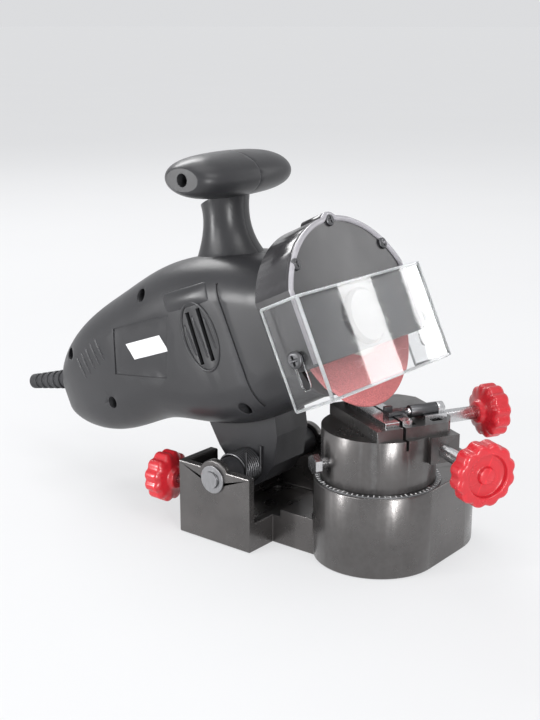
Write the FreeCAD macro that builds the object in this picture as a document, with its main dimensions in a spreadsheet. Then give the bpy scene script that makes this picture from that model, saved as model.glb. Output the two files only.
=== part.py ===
"""Bench sharpener for chainsaw chains: a parametric model of every separate piece.

Frame: origin on the bench plane, in the middle of the bench-bolt pattern and
straight under the head's pivot pin.  +Z up, +Y towards the cord, X along the pin.
The head is drawn in its own frame (x, back along the motor axis, up from it) and
the vise in its own frame (across the chain, along the chain, up).
"""
import FreeCAD, Part
import math
import os
import re
import Sketcher
from FreeCAD import Placement, Rotation, Vector

doc = FreeCAD.newDocument("ChainSharpener")
sheet = doc.addObject("Spreadsheet::Sheet", "Sizes")

SIZES = [
    # base casting: bracket, bridge and drum
    ("bracket_width", 96), ("bracket_depth", 55), ("bracket_height", 46), ("casting_wall", 5),
    ("front_lip_height", 17.5), ("floor_thickness", 6), ("rear_notch_height", 20),
    ("bench_hole_radius", 3.25), ("bench_pitch_across", 66), ("bench_pitch_along", 30),
    ("drum_radius", 37), ("drum_reach", 37), ("drum_height", 48), ("drum_wall", 4),
    ("drum_boss_radius", 11), ("drum_boss_drop", 34), ("bridge_width", 52), ("bridge_height", 22),
    ("swivel_setback", 84),
    # head pivot
    ("pivot_drop", 6), ("pin_radius", 5), ("running_gap", 0.06), ("barrel_radius", 9),
    ("side_gap", 0.5), ("clip_radius", 8.5), ("clip_thickness", 1.4), ("leg_width", 30),
    ("leg_top_front", 60), ("leg_top_back", 118), ("leg_top_drop", 22), ("leg_end_radius", 13.5),
    ("spring_wire_radius", 0.9), ("spring_pitch", 1.7), ("spring_turns", 9), ("spring_end", 14),
    ("spring_end_radius", 0.85),
    # depth stop
    ("stop_inset", 7), ("stop_drop", 12.5), ("stop_ear_width", 9), ("stop_ear_reach", 17),
    ("stop_ear_thickness", 8), ("depth_rod_radius", 3), ("depth_rod_reach", 11),
    ("touch_gap", 0.3), ("lock_nut_radius", 5.8), ("lock_nut_thickness", 4),
    # turret and chain vise
    ("turret_radius", 33), ("turret_height", 31), ("vise_angle", 28), ("block_length", 58),
    ("block_left", 17), ("block_right", 35), ("block_height", 6.5), ("block_corner_radius", 40),
    ("chain_gauge", 1.8), ("chain_slot_depth", 12), ("jaw_height", 14), ("jaw_length", 50),
    ("jaw_thickness", 6),
    ("jaw_travel", 2.5), ("clamp_rod_drop", 7.5), ("clamp_rod_radius", 4),
    ("clamp_knob_reach", 64), ("stop_rod_drop", 15.5), ("stop_rod_radius", 4),
    ("stop_rod_offset", 24), ("stop_knob_reach", 60), ("stop_travel", 4),
    ("carriage_width", 14), ("carriage_length", 12), ("carriage_height", 3),
    ("carriage_setback", 16), ("tongue_width", 6), ("tongue_length", 8), ("lug_width", 18),
    ("ear_thickness", 4), ("pawl_height", 4.6), ("pawl_pin_radius", 2), ("pawl_hub_radius", 3.6),
    ("pawl_thickness", 2), ("pawl_tip_setback", 8.5), ("pawl_tip_height", 4.2),
    ("pawl_half_width", 2.5), ("pawl_hub_start", 10), ("pawl_pin_overhang", 1.25),
    ("knob_radius", 16), ("knob_thickness", 16), ("knob_lobe_radius", 4.6), ("knob_mouth", 3),
    ("large_knob_radius", 18), ("bolt_radius", 4), ("bolt_head_radius", 7.5),
    ("bolt_head_height", 5.3), ("bolt_thread", 14), ("washer_radius", 9),
    ("washer_thickness", 1.6), ("scale_thickness", 0.8), ("scale_width", 3),
    ("lock_screw_radius", 3), ("lock_screw_height", 13), ("lock_screw_reach", 5),
    ("lock_screw_depth", 16), ("lock_head_radius", 5.8), ("lock_head_height", 4),
    # head: grinding wheel and motor
    ("head_tilt", 25), ("wheel_lead", 21.1), ("wheel_rise", 50.8),
    ("wheel_radius", 50), ("wheel_thickness", 3.2), ("shaft_radius", 5), ("shaft_front", 9.6),
    ("shaft_end", 128), ("flange_radius", 14.5), ("flange_thickness", 2),
    ("arbor_nut_radius", 8), ("arbor_nut_thickness", 5), ("thread_gap", 0.02),
    ("front_plate_radius", 29), ("front_plate_thickness", 4), ("front_hub_radius", 14),
    ("bearing_radius", 11), ("bearing_thickness", 7), ("rear_bearing_at", 119),
    ("rear_bearing_radius", 9.5), ("fan_start", 29.5), ("fan_radius", 22), ("fan_thickness", 8),
    ("fan_hub_radius", 9), ("fan_blade", 1.6), ("fan_blades", 9), ("core_start", 50),
    ("core_length", 34), ("core_radius", 13.5), ("air_gap", 0.5), ("winding_overhang", 8),
    ("winding_radius", 12), ("stator_radius", 25), ("stator_flat", 20), ("coil_thickness", 5),
    ("commutator_start", 95.5), ("commutator_length", 11), ("commutator_radius", 10),
    ("brush_start", 97), ("brush_width", 8), ("brush_height", 5), ("brush_reach", 30),
    ("brush_wall", 1.2), ("rib_thickness", 3),
    # guard, cover and visor
    ("guard_radius", 60), ("guard_half_width", 54.5), ("guard_wall", 2.5), ("guard_front", 7),
    ("guard_back", 16), ("guard_plate", 4), ("guard_drop", 18), ("cover_thickness", 2),
    ("cover_boss_radius", 16.5), ("cover_boss_height", 3.5), ("lug_radius", 5),
    ("lug_back", 8), ("cover_screw_radius", 1.8), ("cover_screw_length", 12),
    ("cover_screw_angle", 48), ("visor_half_width", 60), ("visor_wall", 2), ("visor_front", 17.5),
    ("visor_back", 10), ("visor_top", 21), ("visor_bottom", 38), ("visor_slot_radius", 3.1),
    ("visor_travel", 14), ("visor_screw_drop", 11), ("visor_screw_forward", 3),
    ("visor_screw_radius", 2.5), ("screw_head_radius", 5),
    ("screw_head_height", 2.6),
    # housing shells
    ("shell_wall", 2.6), ("handle_half_length", 42), ("handle_depth", 48),
    ("handle_thickness", 27), ("handle_back", 48.2), ("handle_up", 107.1),
    ("case_screw_radius", 2), ("case_screw_head", 3.6), ("case_screw_length", 16),
    ("leg_screw_length", 40), ("leg_screw_back", 68), ("leg_screw_drop", 27.5),
    ("case_boss_radius", 5), ("relief_depth", 0.8), ("groove_width", 1.6), ("groove_at", 54),
    ("groove_low", 30), ("groove_top", 46),
    ("vent_at", 74), ("vent_pitch", 9), ("vent_up", 21), ("vent_length", 32), ("vent_width", 3),
    ("vent_slant", 3), ("vent_keep", 28),
    # switch and cord boot
    ("switch_back", 165), ("switch_up", 24), ("switch_length", 26), ("switch_width", 17),
    ("switch_depth", 15), ("switch_seat", 38.5), ("switch_rim", 2),
    ("rocker_drop", 9), ("rocker_gap", 0.35), ("boot_up", 26),
    ("boot_rise", 12), ("boot_length", 58), ("boot_radius", 7.4), ("boot_tip_radius", 5.2),
    ("boot_bore_radius", 3.6), ("boot_flange_radius", 9.5), ("boot_flange", 2.5),
    ("boot_ribs", 7), ("cord_rib_at", 206), ("cord_drop", 3), ("clamp_plate", 3), ("capacitor_width", 12),
    ("capacitor_length", 18), ("capacitor_height", 24), ("capacitor_up", 18),
    # heights and places that follow from what carries them
    ("pivot_height", "=bracket_height - pivot_drop"),
    ("stop_offset", "=bracket_width / 2 - casting_wall - stop_inset"),
    ("block_top", "=drum_height + turret_height + block_height"),
    ("clamp_rod_height", "=block_top - clamp_rod_drop"),
    ("stop_rod_height", "=block_top - stop_rod_drop"),
    ("wheel_height", "=block_top + wheel_rise"),
    ("wheel_setback", "=swivel_setback - wheel_lead"),
]
for row, (alias, value) in enumerate(SIZES, start=1):
    sheet.set(f"A{row}", alias)
    sheet.set(f"B{row}", str(value))
    sheet.setAlias(f"B{row}", alias)
doc.recompute()


class Reader:
    """Reads a cell of the sheet by its alias, for places and for lofted shapes."""

    def __getattr__(self, alias):
        return float(sheet.get(alias))


d = Reader()
PARTS = []
ALONG = {
    "x": Rotation(Vector(0, 1, 0), 90), "-x": Rotation(Vector(0, 1, 0), -90),
    "y": Rotation(Vector(1, 0, 0), -90), "-y": Rotation(Vector(1, 0, 0), 90),
    "z": Rotation(), "-z": Rotation(Vector(1, 0, 0), 180),
}
BASE = Placement()
HEAD = Placement(Vector(0, -d.wheel_setback, d.wheel_height), Rotation(Vector(1, 0, 0), -d.head_tilt))
VISE = Placement(Vector(0, -d.swivel_setback, 0), Rotation(Vector(0, 0, 1), -d.vise_angle))
SIDES = (-1, 1)


# ---------------------------------------------------------------- ways of making a piece

def expression(text):
    """Prefix every alias in a formula with the sheet's name."""
    return re.sub(r"[a-z_]*[a-z]", lambda word: "Sizes." + word.group(0), text)


def number(formula):
    """The present value of a formula of sums and products; what is in brackets is above zero."""
    inner = re.search(r"\(([^()]*)\)", formula)
    while inner:
        formula = formula[:inner.start()] + repr(number(inner.group(1))) + formula[inner.end():]
        inner = re.search(r"\(([^()]*)\)", formula)
    total = 0.0
    for sign, term in re.findall(r"([+-]?)\s*([^+\-]+)", formula):
        value = 1.0
        for operator, factor in re.findall(r"([*/]?)\s*([\w.]+)", term):
            amount = float(factor) if factor[0].isdigit() else getattr(d, factor)
            value = value / amount if operator == "/" else value * amount
        total += -value if sign == "-" else value
    return total


def bind(item, **formulas):
    for name, formula in formulas.items():
        item.setExpression(name, expression(formula))
    return item


def place(item, at, along="z"):
    item.Placement = Placement(Vector(*at), ALONG[along])
    return item


def cylinder(radius, length, at=(0, 0, 0), along="z"):
    return place(bind(doc.addObject("Part::Cylinder", "Round"), Radius=radius, Height=length), at, along)


def hexagon(radius, length, at=(0, 0, 0), along="z"):
    item = bind(doc.addObject("Part::Prism", "Hexagon"), Circumradius=radius, Height=length)
    return place(item, at, along)


def box(width, depth, height, at=(0, 0, 0)):
    """A block; at is the middle of its width and depth, at its lowest height."""
    item = bind(doc.addObject("Part::Box", "Block"), Length=width, Width=depth, Height=height)
    return place(item, (at[0] - number(width) / 2, at[1] - number(depth) / 2, at[2]))


def solid(shape):
    item = doc.addObject("Part::Feature", "Shaped")
    item.Shape = shape
    return item


def fuse(*items):
    item = doc.addObject("Part::MultiFuse", "Joined")
    item.Shapes = list(items)
    return item


def cut(base, *tools):
    item = doc.addObject("Part::Cut", "Cut")
    item.Base = base
    item.Tool = tools[0] if len(tools) == 1 else fuse(*tools)
    return item


def common(first, second):
    item = doc.addObject("Part::MultiCommon", "Shared")
    item.Shapes = [first, second]
    return item


def group(items):
    item = doc.addObject("Part::Compound", "Set")
    item.Links = list(items)
    return item


def part(label, item, frame=BASE):
    """Name a finished piece and put it in its frame."""
    item.Label = label
    item.Placement = frame.multiply(item.Placement)
    PARTS.append(item)
    return item


def outlined(kind, role, points):
    """A body with one closed outline on an origin plane, every point bound to the sheet."""
    body = doc.addObject("PartDesign::Body", kind)
    plane = next(item for item in body.Origin.OriginFeatures if item.Role == role)
    outline = body.newObject("Sketcher::SketchObject", "Outline")
    outline.AttachmentSupport = [(plane, "")]
    outline.MapMode = "FlatFace"
    spots = [Vector(number(u), number(v), 0) for u, v in points]
    for i, spot in enumerate(spots):
        outline.addGeometry(Part.LineSegment(spot, spots[(i + 1) % len(spots)]), False)
    for i in range(len(spots)):
        outline.addConstraint(Sketcher.Constraint("Coincident", i, 2, (i + 1) % len(spots), 1))
    for i, (point, spot) in enumerate(zip(points, spots)):
        for name, formula, guess in (("DistanceX", point[0], spot.x), ("DistanceY", point[1], spot.y)):
            index = outline.addConstraint(Sketcher.Constraint(name, i, 1, guess))
            outline.setExpression(f"Constraints[{index}]", expression(formula))
    outline.Visibility = False
    return body, outline


def turned(points, at=(0, 0, 0), along="z"):
    """A turned piece: (radius, height) points spun about the piece's own axis."""
    body, outline = outlined("Turned", "XZ_Plane", points)
    spin = body.newObject("PartDesign::Revolution", "Spin")
    spin.Profile = outline
    spin.ReferenceAxis = (outline, ["V_Axis"])
    spin.Angle = 360
    return place(body, at, along)


def padded(points, length, at=(0, 0, 0), along="z"):
    """A straight extrusion of a closed outline, upwards from at."""
    body, outline = outlined("Padded", "XY_Plane", points)
    pad = body.newObject("PartDesign::Pad", "Pad")
    pad.Profile = outline
    bind(pad, Length=length)
    return place(body, at, along)


def washer(outer, inner, thickness, at=(0, 0, 0), along="z"):
    return turned([(inner, "0"), (outer, "0"), (outer, thickness), (inner, thickness)], at, along)


def screw(shank, length, head, height, at=(0, 0, 0), along="z"):
    """A pan-head screw; at is under its head and the head stands out along the direction."""
    return turned([("0", f"0 - ({length})"), (shank, f"0 - ({length})"), (shank, "0"), (head, "0"),
                   (head, f"{height} / 2"), (f"({head}) / 2", height), ("0", height)], at, along)


def star_knob(radius, at, along):
    """A hand knob: a turned core in a ring of finger lobes, mouth at its far end."""
    core = turned([("0", "0"), ("knob_thickness / 3", "0"),
                   (f"{radius} - knob_lobe_radius / 2", "knob_thickness / 4"),
                   (f"{radius} - knob_lobe_radius / 2", "knob_thickness * 0.9"),
                   (f"{radius} - knob_lobe_radius", "knob_thickness"), ("0", "knob_thickness")])
    lobes = 8
    ring = number(radius) - d.knob_lobe_radius
    pieces = [core]
    for i in range(lobes):
        angle = 2 * math.pi * i / lobes
        pieces.append(cylinder("knob_lobe_radius", "knob_thickness * 0.62",
                               (ring * math.cos(angle), ring * math.sin(angle), d.knob_thickness * 0.3)))
    mouth = cylinder(f"{radius} - 2 * knob_lobe_radius", "knob_mouth",
                     (0, 0, d.knob_thickness - d.knob_mouth))
    return place(cut(fuse(*pieces), mouth), at, along)


# ---------------------------------------------------------------- base

def oval(radius, height):
    """Stadium prism on the swivel axis, reaching towards +X."""
    middle = -d.swivel_setback
    return fuse(cylinder(radius, height, (0, middle, 0)),
                cylinder(radius, height, (d.drum_reach, middle, 0)),
                box("drum_reach", f"2 * ({radius})", height, (d.drum_reach / 2, middle, 0)))


def make_base():
    half, deep = d.bracket_width / 2, d.bracket_depth / 2
    middle = -d.swivel_setback
    inner_width = "bracket_width - 2 * casting_wall"
    shell = box("bracket_width", "bracket_depth", "bracket_height")
    well = box(inner_width, "bracket_depth - 2 * casting_wall", "bracket_height", (0, 0, d.floor_thickness))
    mouth = box(inner_width, "2 * casting_wall", "bracket_height", (0, -deep, d.front_lip_height))
    notch = box("leg_width + casting_wall", "4 * casting_wall", "bracket_height",
                (0, deep, d.rear_notch_height))
    bridge = box("bridge_width", "swivel_setback - bracket_depth / 2", "bridge_height",
                 (0, (middle - deep) / 2, 0))
    boss = cylinder("drum_boss_radius", "drum_boss_drop", (0, middle, d.drum_height - d.drum_boss_drop))
    bosses = [cylinder("barrel_radius + casting_wall / 2", "casting_wall", (side, 0, d.pivot_height), "x")
              for side in (-half, half - d.casting_wall)]
    hollow = cut(oval("drum_radius - drum_wall", "drum_height - drum_wall"),
                 cylinder("drum_boss_radius", "drum_height", (0, middle, d.drum_height - d.drum_boss_drop)))
    body = cut(fuse(shell, bridge, oval("drum_radius", "drum_height"), boss, *bosses),
               well, mouth, notch, hollow)
    holes = [cylinder("pin_radius + running_gap / 3", "2 * bracket_width",
                      (-d.bracket_width, 0, d.pivot_height), "x"),
             cylinder("bolt_radius + running_gap", "2 * drum_height", (0, middle, 0)),
             cylinder("depth_rod_radius + running_gap", "3 * casting_wall",
                      (-d.stop_offset, deep - 2 * d.casting_wall, d.pivot_height - d.stop_drop), "y")]
    holes += [cylinder("bench_hole_radius", "3 * floor_thickness",
                       (across * d.bench_pitch_across / 2, back * d.bench_pitch_along / 2,
                        -d.floor_thickness)) for across in SIDES for back in SIDES]
    part("base_casting", cut(body, *holes))


def make_pivot():
    half = d.bracket_width / 2
    part("pivot_pin", cylinder("pin_radius", "bracket_width + 4 * clip_thickness",
                               (-half - 2 * d.clip_thickness, 0, d.pivot_height), "x"))
    part("pin_clips", group(
        washer("clip_radius", "pin_radius + thread_gap", "clip_thickness", (side, 0, d.pivot_height), "x")
        for side in (-half - d.clip_thickness, half)))
    make_spring()


def make_spring():
    """The closed-wound return spring round the barrel, with straight ends that stand up from it."""
    wire, pitch = d.spring_wire_radius, d.spring_pitch
    coil = d.barrel_radius + d.touch_gap + wire
    valley = math.sqrt(wire ** 2 - (pitch / 2) ** 2)
    count = int(d.spring_turns)
    last = (count - 1) * pitch
    edges = []
    for side in SIDES:
        for i in range(count):
            spots = [(coil + side * valley, (i - 0.5) * pitch), (coil + side * wire, i * pitch),
                     (coil + side * valley, (i + 0.5) * pitch)]
            edges.append(Part.Arc(*(Vector(radius, 0, at) for radius, at in spots)).toShape())
    for at, tip in ((-pitch / 2, -wire), (last + pitch / 2, last + wire)):
        edges.append(Part.Arc(Vector(coil - valley, 0, at), Vector(coil, 0, tip),
                              Vector(coil + valley, 0, at)).toShape())
    face = Part.Face(Part.Wire(Part.__sortEdges__(edges)))
    turns = face.revolve(Vector(), Vector(0, 0, 1), 360)
    ends = [Part.makeCylinder(d.spring_end_radius, d.spring_end, Vector(0, -coil, at), Vector(1, 0, 0))
            for at in (0, last)]
    spring = solid(turns.fuse(ends))
    start = -d.leg_width / 2 - wire - d.touch_gap
    part("return_spring", place(spring, (start, 0, d.pivot_height), "-x"))


def make_depth_stop():
    height = d.pivot_height - d.stop_drop
    tip = d.stop_ear_thickness / 2 + d.touch_gap
    wall = d.bracket_depth / 2
    part("depth_rod", cylinder(
        "depth_rod_radius", "bracket_depth / 2 + depth_rod_reach - stop_ear_thickness / 2 - touch_gap",
        (-d.stop_offset, tip, height), "y"))
    part("depth_knob", star_knob("knob_radius", (-d.stop_offset, wall + d.depth_rod_reach, height), "y"))
    part("depth_lock_nut", cut(
        hexagon("lock_nut_radius", "lock_nut_thickness", (-d.stop_offset, wall, height), "y"),
        cylinder("depth_rod_radius + running_gap", "3 * lock_nut_thickness",
                 (-d.stop_offset, wall - d.lock_nut_thickness, height), "y")))


# ---------------------------------------------------------------- turret and chain vise

def make_turret():
    low, top = d.drum_height, d.drum_height + d.turret_height
    middle = (d.block_right - d.block_left) / 2
    jaw_floor = d.block_top + d.pawl_thickness + d.touch_gap * 2 - d.jaw_height
    lug_top = d.turret_height / 2
    body = fuse(
        cylinder("turret_radius", "turret_height", (0, 0, low)),
        common(box("block_left + block_right", "block_length", "block_height", (middle, 0, top)),
               cylinder("block_corner_radius", "block_height", (0, 0, top))),
        box("lug_width", "turret_radius", "turret_height / 2",
            (d.stop_rod_offset, -d.turret_radius / 2, top - lug_top)))
    slot = box("chain_gauge", "2 * block_length", "2 * chain_slot_depth",
               (0, 0, d.block_top - d.chain_slot_depth))
    seat = box("chain_gauge + 2 * jaw_thickness + 2 * jaw_travel + 2 * touch_gap",
               "jaw_length + 2 * touch_gap", "2 * jaw_height", (0, 0, jaw_floor))
    way = box("tongue_width + 2 * touch_gap", "tongue_length + 2 * stop_travel + 2 * touch_gap",
              "2 * turret_height",
              (d.stop_rod_offset, -d.carriage_setback, d.stop_rod_height - d.tongue_length))
    clamp_hole = cylinder("clamp_rod_radius + running_gap", "2 * block_right",
                          (0, 0, d.clamp_rod_height), "x")
    stop_hole = cylinder("stop_rod_radius + running_gap", "block_length + stop_travel + touch_gap",
                         (d.stop_rod_offset, -d.carriage_setback - d.block_length, d.stop_rod_height), "y")
    bolt_hole = cylinder("bolt_radius + thread_gap", "bolt_thread + touch_gap", (0, 0, low))
    lock_start = (-d.turret_radius - d.lock_screw_reach, 0, low + d.lock_screw_height)
    lock_hole = cylinder("lock_screw_radius + thread_gap", "lock_screw_reach + lock_screw_depth",
                         lock_start, "x")
    part("vise_turret", cut(body, slot, seat, way, clamp_hole, stop_hole, bolt_hole, lock_hole), VISE)
    part("swivel_lock_screw", fuse(
        cylinder("lock_screw_radius", "lock_screw_reach + lock_screw_depth", lock_start, "x"),
        hexagon("lock_head_radius", "lock_head_height",
                (lock_start[0] - d.lock_head_height, 0, lock_start[2]), "x")), VISE)

    bolt_length = "drum_boss_drop + bolt_thread"
    under = d.drum_height - d.drum_boss_drop
    part("swivel_bolt", fuse(
        cylinder("bolt_radius", f"{bolt_length} + washer_thickness", (0, 0, under - d.washer_thickness)),
        hexagon("bolt_head_radius", "bolt_head_height",
                (0, 0, under - d.washer_thickness - d.bolt_head_height))), VISE)
    part("swivel_washer", washer("washer_radius", "bolt_radius + thread_gap", "washer_thickness",
                                 (0, 0, under - d.washer_thickness)), VISE)
    part("angle_scale", washer("turret_radius + touch_gap + scale_width", "turret_radius + touch_gap",
                               "scale_thickness", (0, -d.swivel_setback, d.drum_height)))
    return jaw_floor


def make_jaws(jaw_floor):
    gauge = d.chain_gauge / 2
    fixed = gauge + d.jaw_thickness / 2
    seat = d.jaw_thickness + d.jaw_travel + d.touch_gap
    part("fixed_jaw", box("jaw_thickness + jaw_travel + touch_gap", "jaw_length", "jaw_height",
                          (-gauge - seat / 2, 0, jaw_floor)), VISE)
    outer = gauge + d.jaw_thickness
    part("clamp_jaw", fuse(
        box("jaw_thickness", "jaw_length", "jaw_height", (fixed, 0, jaw_floor)),
        cylinder("clamp_rod_radius", "clamp_knob_reach - chain_gauge / 2 - jaw_thickness",
                 (outer, 0, d.clamp_rod_height), "x")), VISE)
    part("clamp_knob", star_knob("knob_radius", (d.clamp_knob_reach, 0, d.clamp_rod_height), "x"), VISE)


def make_chain_stop():
    across, back = d.stop_rod_offset, -d.carriage_setback
    hinge_up = d.block_top + d.pawl_height
    outer = across + d.carriage_width / 2
    tongue_foot = d.stop_rod_height - d.tongue_length / 2
    carriage = fuse(
        box("carriage_width", "carriage_length", "carriage_height", (across, back, d.block_top)),
        box("tongue_width", "tongue_length", "stop_rod_drop + tongue_length / 2",
            (across, back, tongue_foot)),
        box("ear_thickness", "2 * pawl_hub_radius", "pawl_height",
            (outer - d.ear_thickness / 2, back, d.block_top)),
        cylinder("pawl_hub_radius", "ear_thickness", (outer - d.ear_thickness, back, hinge_up), "x"),
        cylinder("stop_rod_radius", "stop_knob_reach - carriage_setback",
                 (across, -d.stop_knob_reach, d.stop_rod_height), "y"))
    hub_room = cylinder("pawl_hub_radius + touch_gap",
                        "stop_rod_offset + carriage_width / 2 - ear_thickness", (0, back, hinge_up), "x")
    pin_hole = cylinder("pawl_pin_radius + thread_gap", "4 * carriage_width", (0, back, hinge_up), "x")
    part("stop_carriage", cut(carriage, hub_room, pin_hole), VISE)
    part("stop_knob", star_knob("large_knob_radius", (across, -d.stop_knob_reach, d.stop_rod_height), "-y"),
         VISE)
    hub_end = outer - d.ear_thickness - d.touch_gap
    part("pawl_pin", cylinder(
        "pawl_pin_radius", "stop_rod_offset + carriage_width / 2 - pawl_hub_start + 2 * pawl_pin_overhang",
        (d.pawl_hub_start - d.pawl_pin_overhang, back, hinge_up), "x"), VISE)
    tip = -d.pawl_tip_setback
    finger_low = d.block_top + d.pawl_thickness + 3 * d.touch_gap
    plate_end = across - d.carriage_width / 2 - d.touch_gap
    pawl = fuse(
        cylinder("pawl_hub_radius", "stop_rod_offset + carriage_width / 2 - ear_thickness - touch_gap"
                 " - pawl_hub_start", (d.pawl_hub_start, back, hinge_up), "x"),
        box("stop_rod_offset - carriage_width / 2 - touch_gap + pawl_half_width",
            "carriage_setback - pawl_tip_setback", "pawl_thickness",
            ((plate_end - d.pawl_half_width) / 2, (back + tip) / 2, finger_low)),
        box("2 * pawl_half_width", "pawl_thickness", "pawl_tip_height",
            (0, tip - d.pawl_thickness / 2, finger_low)))
    bore = cylinder("pawl_pin_radius + running_gap", "2 * carriage_width + 2 * pawl_hub_start",
                    (0, back, hinge_up), "x")
    slot = box("pawl_hub_start + pawl_half_width + touch_gap", "2 * pawl_hub_radius + touch_gap",
               "2 * pawl_height", ((d.pawl_hub_start - d.pawl_half_width) / 2 - d.touch_gap,
                                   back - d.pawl_hub_radius, d.block_top))
    part("chain_stop_pawl", cut(pawl, bore, slot), VISE)


# ---------------------------------------------------------------- grinding head: what turns

def make_rotor():
    half = d.wheel_thickness / 2
    part("grinding_wheel", turned(
        [("shaft_radius + thread_gap", "0 - wheel_thickness / 2"),
         ("wheel_radius - wheel_thickness / 4", "0 - wheel_thickness / 2"),
         ("wheel_radius", "0 - wheel_thickness / 4"), ("wheel_radius", "wheel_thickness / 4"),
         ("wheel_radius - wheel_thickness / 4", "wheel_thickness / 2"),
         ("shaft_radius + thread_gap", "wheel_thickness / 2")], along="y"), HEAD)
    for name, start in (("outer_flange", -half - d.flange_thickness), ("inner_flange", half)):
        part(name, washer("flange_radius", "shaft_radius + thread_gap", "flange_thickness",
                          (0, start, 0), "y"), HEAD)
    nut_start = -half - d.flange_thickness - d.arbor_nut_thickness
    part("arbor_nut", cut(hexagon("arbor_nut_radius", "arbor_nut_thickness", (0, nut_start, 0), "y"),
                          cylinder("shaft_radius + thread_gap", "3 * arbor_nut_thickness",
                                   (0, nut_start - d.arbor_nut_thickness, 0), "y")), HEAD)
    collar_start = half + d.flange_thickness
    shaft = fuse(cylinder("shaft_radius", "shaft_front + shaft_end", (0, -d.shaft_front, 0), "y"),
                 cylinder("shaft_radius + flange_thickness", "2 * flange_thickness",
                          (0, collar_start, 0), "y"))
    part("motor_shaft", shaft, HEAD)
    hub = washer("fan_hub_radius", "shaft_radius + thread_gap", "fan_thickness", (0, d.fan_start, 0), "y")
    disc = washer("fan_radius", "fan_hub_radius - thread_gap", "fan_blade", (0, d.fan_start, 0), "y")
    blades = []
    for i in range(int(d.fan_blades)):
        blade = box("fan_blade", "fan_thickness", "fan_radius - fan_hub_radius",
                    (0, d.fan_start + d.fan_thickness / 2, d.fan_hub_radius - d.fan_blade))
        turn = Placement(Vector(), Rotation(Vector(0, 1, 0), 360 / d.fan_blades * i))
        blade.Placement = turn.multiply(blade.Placement)
        blades.append(blade)
    part("cooling_fan", fuse(hub, disc, *blades), HEAD)
    part("armature_core", washer("core_radius", "shaft_radius + thread_gap", "core_length",
                                 (0, d.core_start, 0), "y"), HEAD)
    part("armature_windings", group(
        washer("winding_radius", "shaft_radius + thread_gap", "winding_overhang", (0, start, 0), "y")
        for start in (d.core_start - d.winding_overhang, d.core_start + d.core_length)), HEAD)
    part("commutator", washer("commutator_radius", "shaft_radius + thread_gap", "commutator_length",
                              (0, d.commutator_start, 0), "y"), HEAD)


def make_motor():
    front = d.guard_back
    bearing_at = front + d.front_plate_thickness
    part("front_plate", turned(
        [("shaft_radius + side_gap", "0"), ("front_plate_radius", "0"),
         ("front_plate_radius", "front_plate_thickness"), ("front_hub_radius", "front_plate_thickness"),
         ("front_hub_radius", "front_plate_thickness + bearing_thickness"),
         ("bearing_radius + thread_gap", "front_plate_thickness + bearing_thickness"),
         ("bearing_radius + thread_gap", "front_plate_thickness"),
         ("shaft_radius + side_gap", "front_plate_thickness")], (0, front, 0), "y"), HEAD)
    part("front_bearing", washer("bearing_radius", "shaft_radius + running_gap", "bearing_thickness",
                                 (0, bearing_at, 0), "y"), HEAD)
    part("rear_bearing", washer("rear_bearing_radius", "shaft_radius + running_gap", "bearing_thickness",
                                (0, d.rear_bearing_at, 0), "y"), HEAD)
    round_stack = cylinder("stator_radius", "core_length", (0, d.core_start, 0), "y")
    flats = box("2 * stator_radius", "core_length", "2 * stator_flat",
                (0, d.core_start + d.core_length / 2, -d.stator_flat))
    bore = cylinder("core_radius + air_gap", "3 * core_length", (0, d.core_start - d.core_length, 0), "y")
    part("stator_core", cut(common(round_stack, flats), bore), HEAD)
    coils = []
    for side in SIDES:
        for start in (d.core_start - d.coil_thickness, d.core_start + d.core_length):
            middle = side * (d.stator_flat - d.coil_thickness / 2)
            coils.append(box("core_radius * 2", "coil_thickness", "coil_thickness",
                             (0, start + d.coil_thickness / 2, middle - d.coil_thickness / 2)))
    part("field_coils", group(coils), HEAD)
    brushes, holders = [], []
    reach = "brush_reach - commutator_radius - running_gap"
    hold_start = d.commutator_radius + 2 * d.brush_wall
    for side in SIDES:
        centre = side * (d.commutator_radius + d.running_gap + d.brush_reach) / 2
        back = d.brush_start + d.brush_width / 2
        size = (reach, "brush_width - 2 * brush_wall", "brush_height")
        brushes.append(box(*size, (centre, back, -d.brush_height / 2)))
        hold = side * (hold_start + d.brush_reach) / 2
        holders.append(cut(
            box("brush_reach - commutator_radius - 2 * brush_wall", "brush_width",
                "brush_height + 2 * brush_wall", (hold, back, -d.brush_height / 2 - d.brush_wall)),
            box("2 * brush_reach", "brush_width - 2 * brush_wall + 2 * running_gap",
                "brush_height + 2 * running_gap", (hold, back, -d.brush_height / 2 - d.running_gap))))
    part("carbon_brushes", group(brushes), HEAD)
    part("brush_holders", group(holders), HEAD)


# ---------------------------------------------------------------- guard, cover and visor

def arch(radius, half_width, start, length):
    """The guard's outline as a prism along the motor axis: a round clipped at its sides and foot."""
    round_part = cylinder(radius, length, (0, start, 0), "y")
    limits = box(f"2 * ({half_width})", length, f"{radius} + guard_drop",
                 (0, start + number(length) / 2, -d.guard_drop))
    return common(round_part, limits)


def cover_screw_places():
    ring = d.guard_radius - d.cover_screw_radius * 2
    places = [(0, d.guard_radius - d.lug_radius / 2)]
    for side in SIDES:
        angle = math.radians(d.cover_screw_angle)
        places.append((side * ring * math.sin(angle), ring * math.cos(angle)))
    return places


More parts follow.
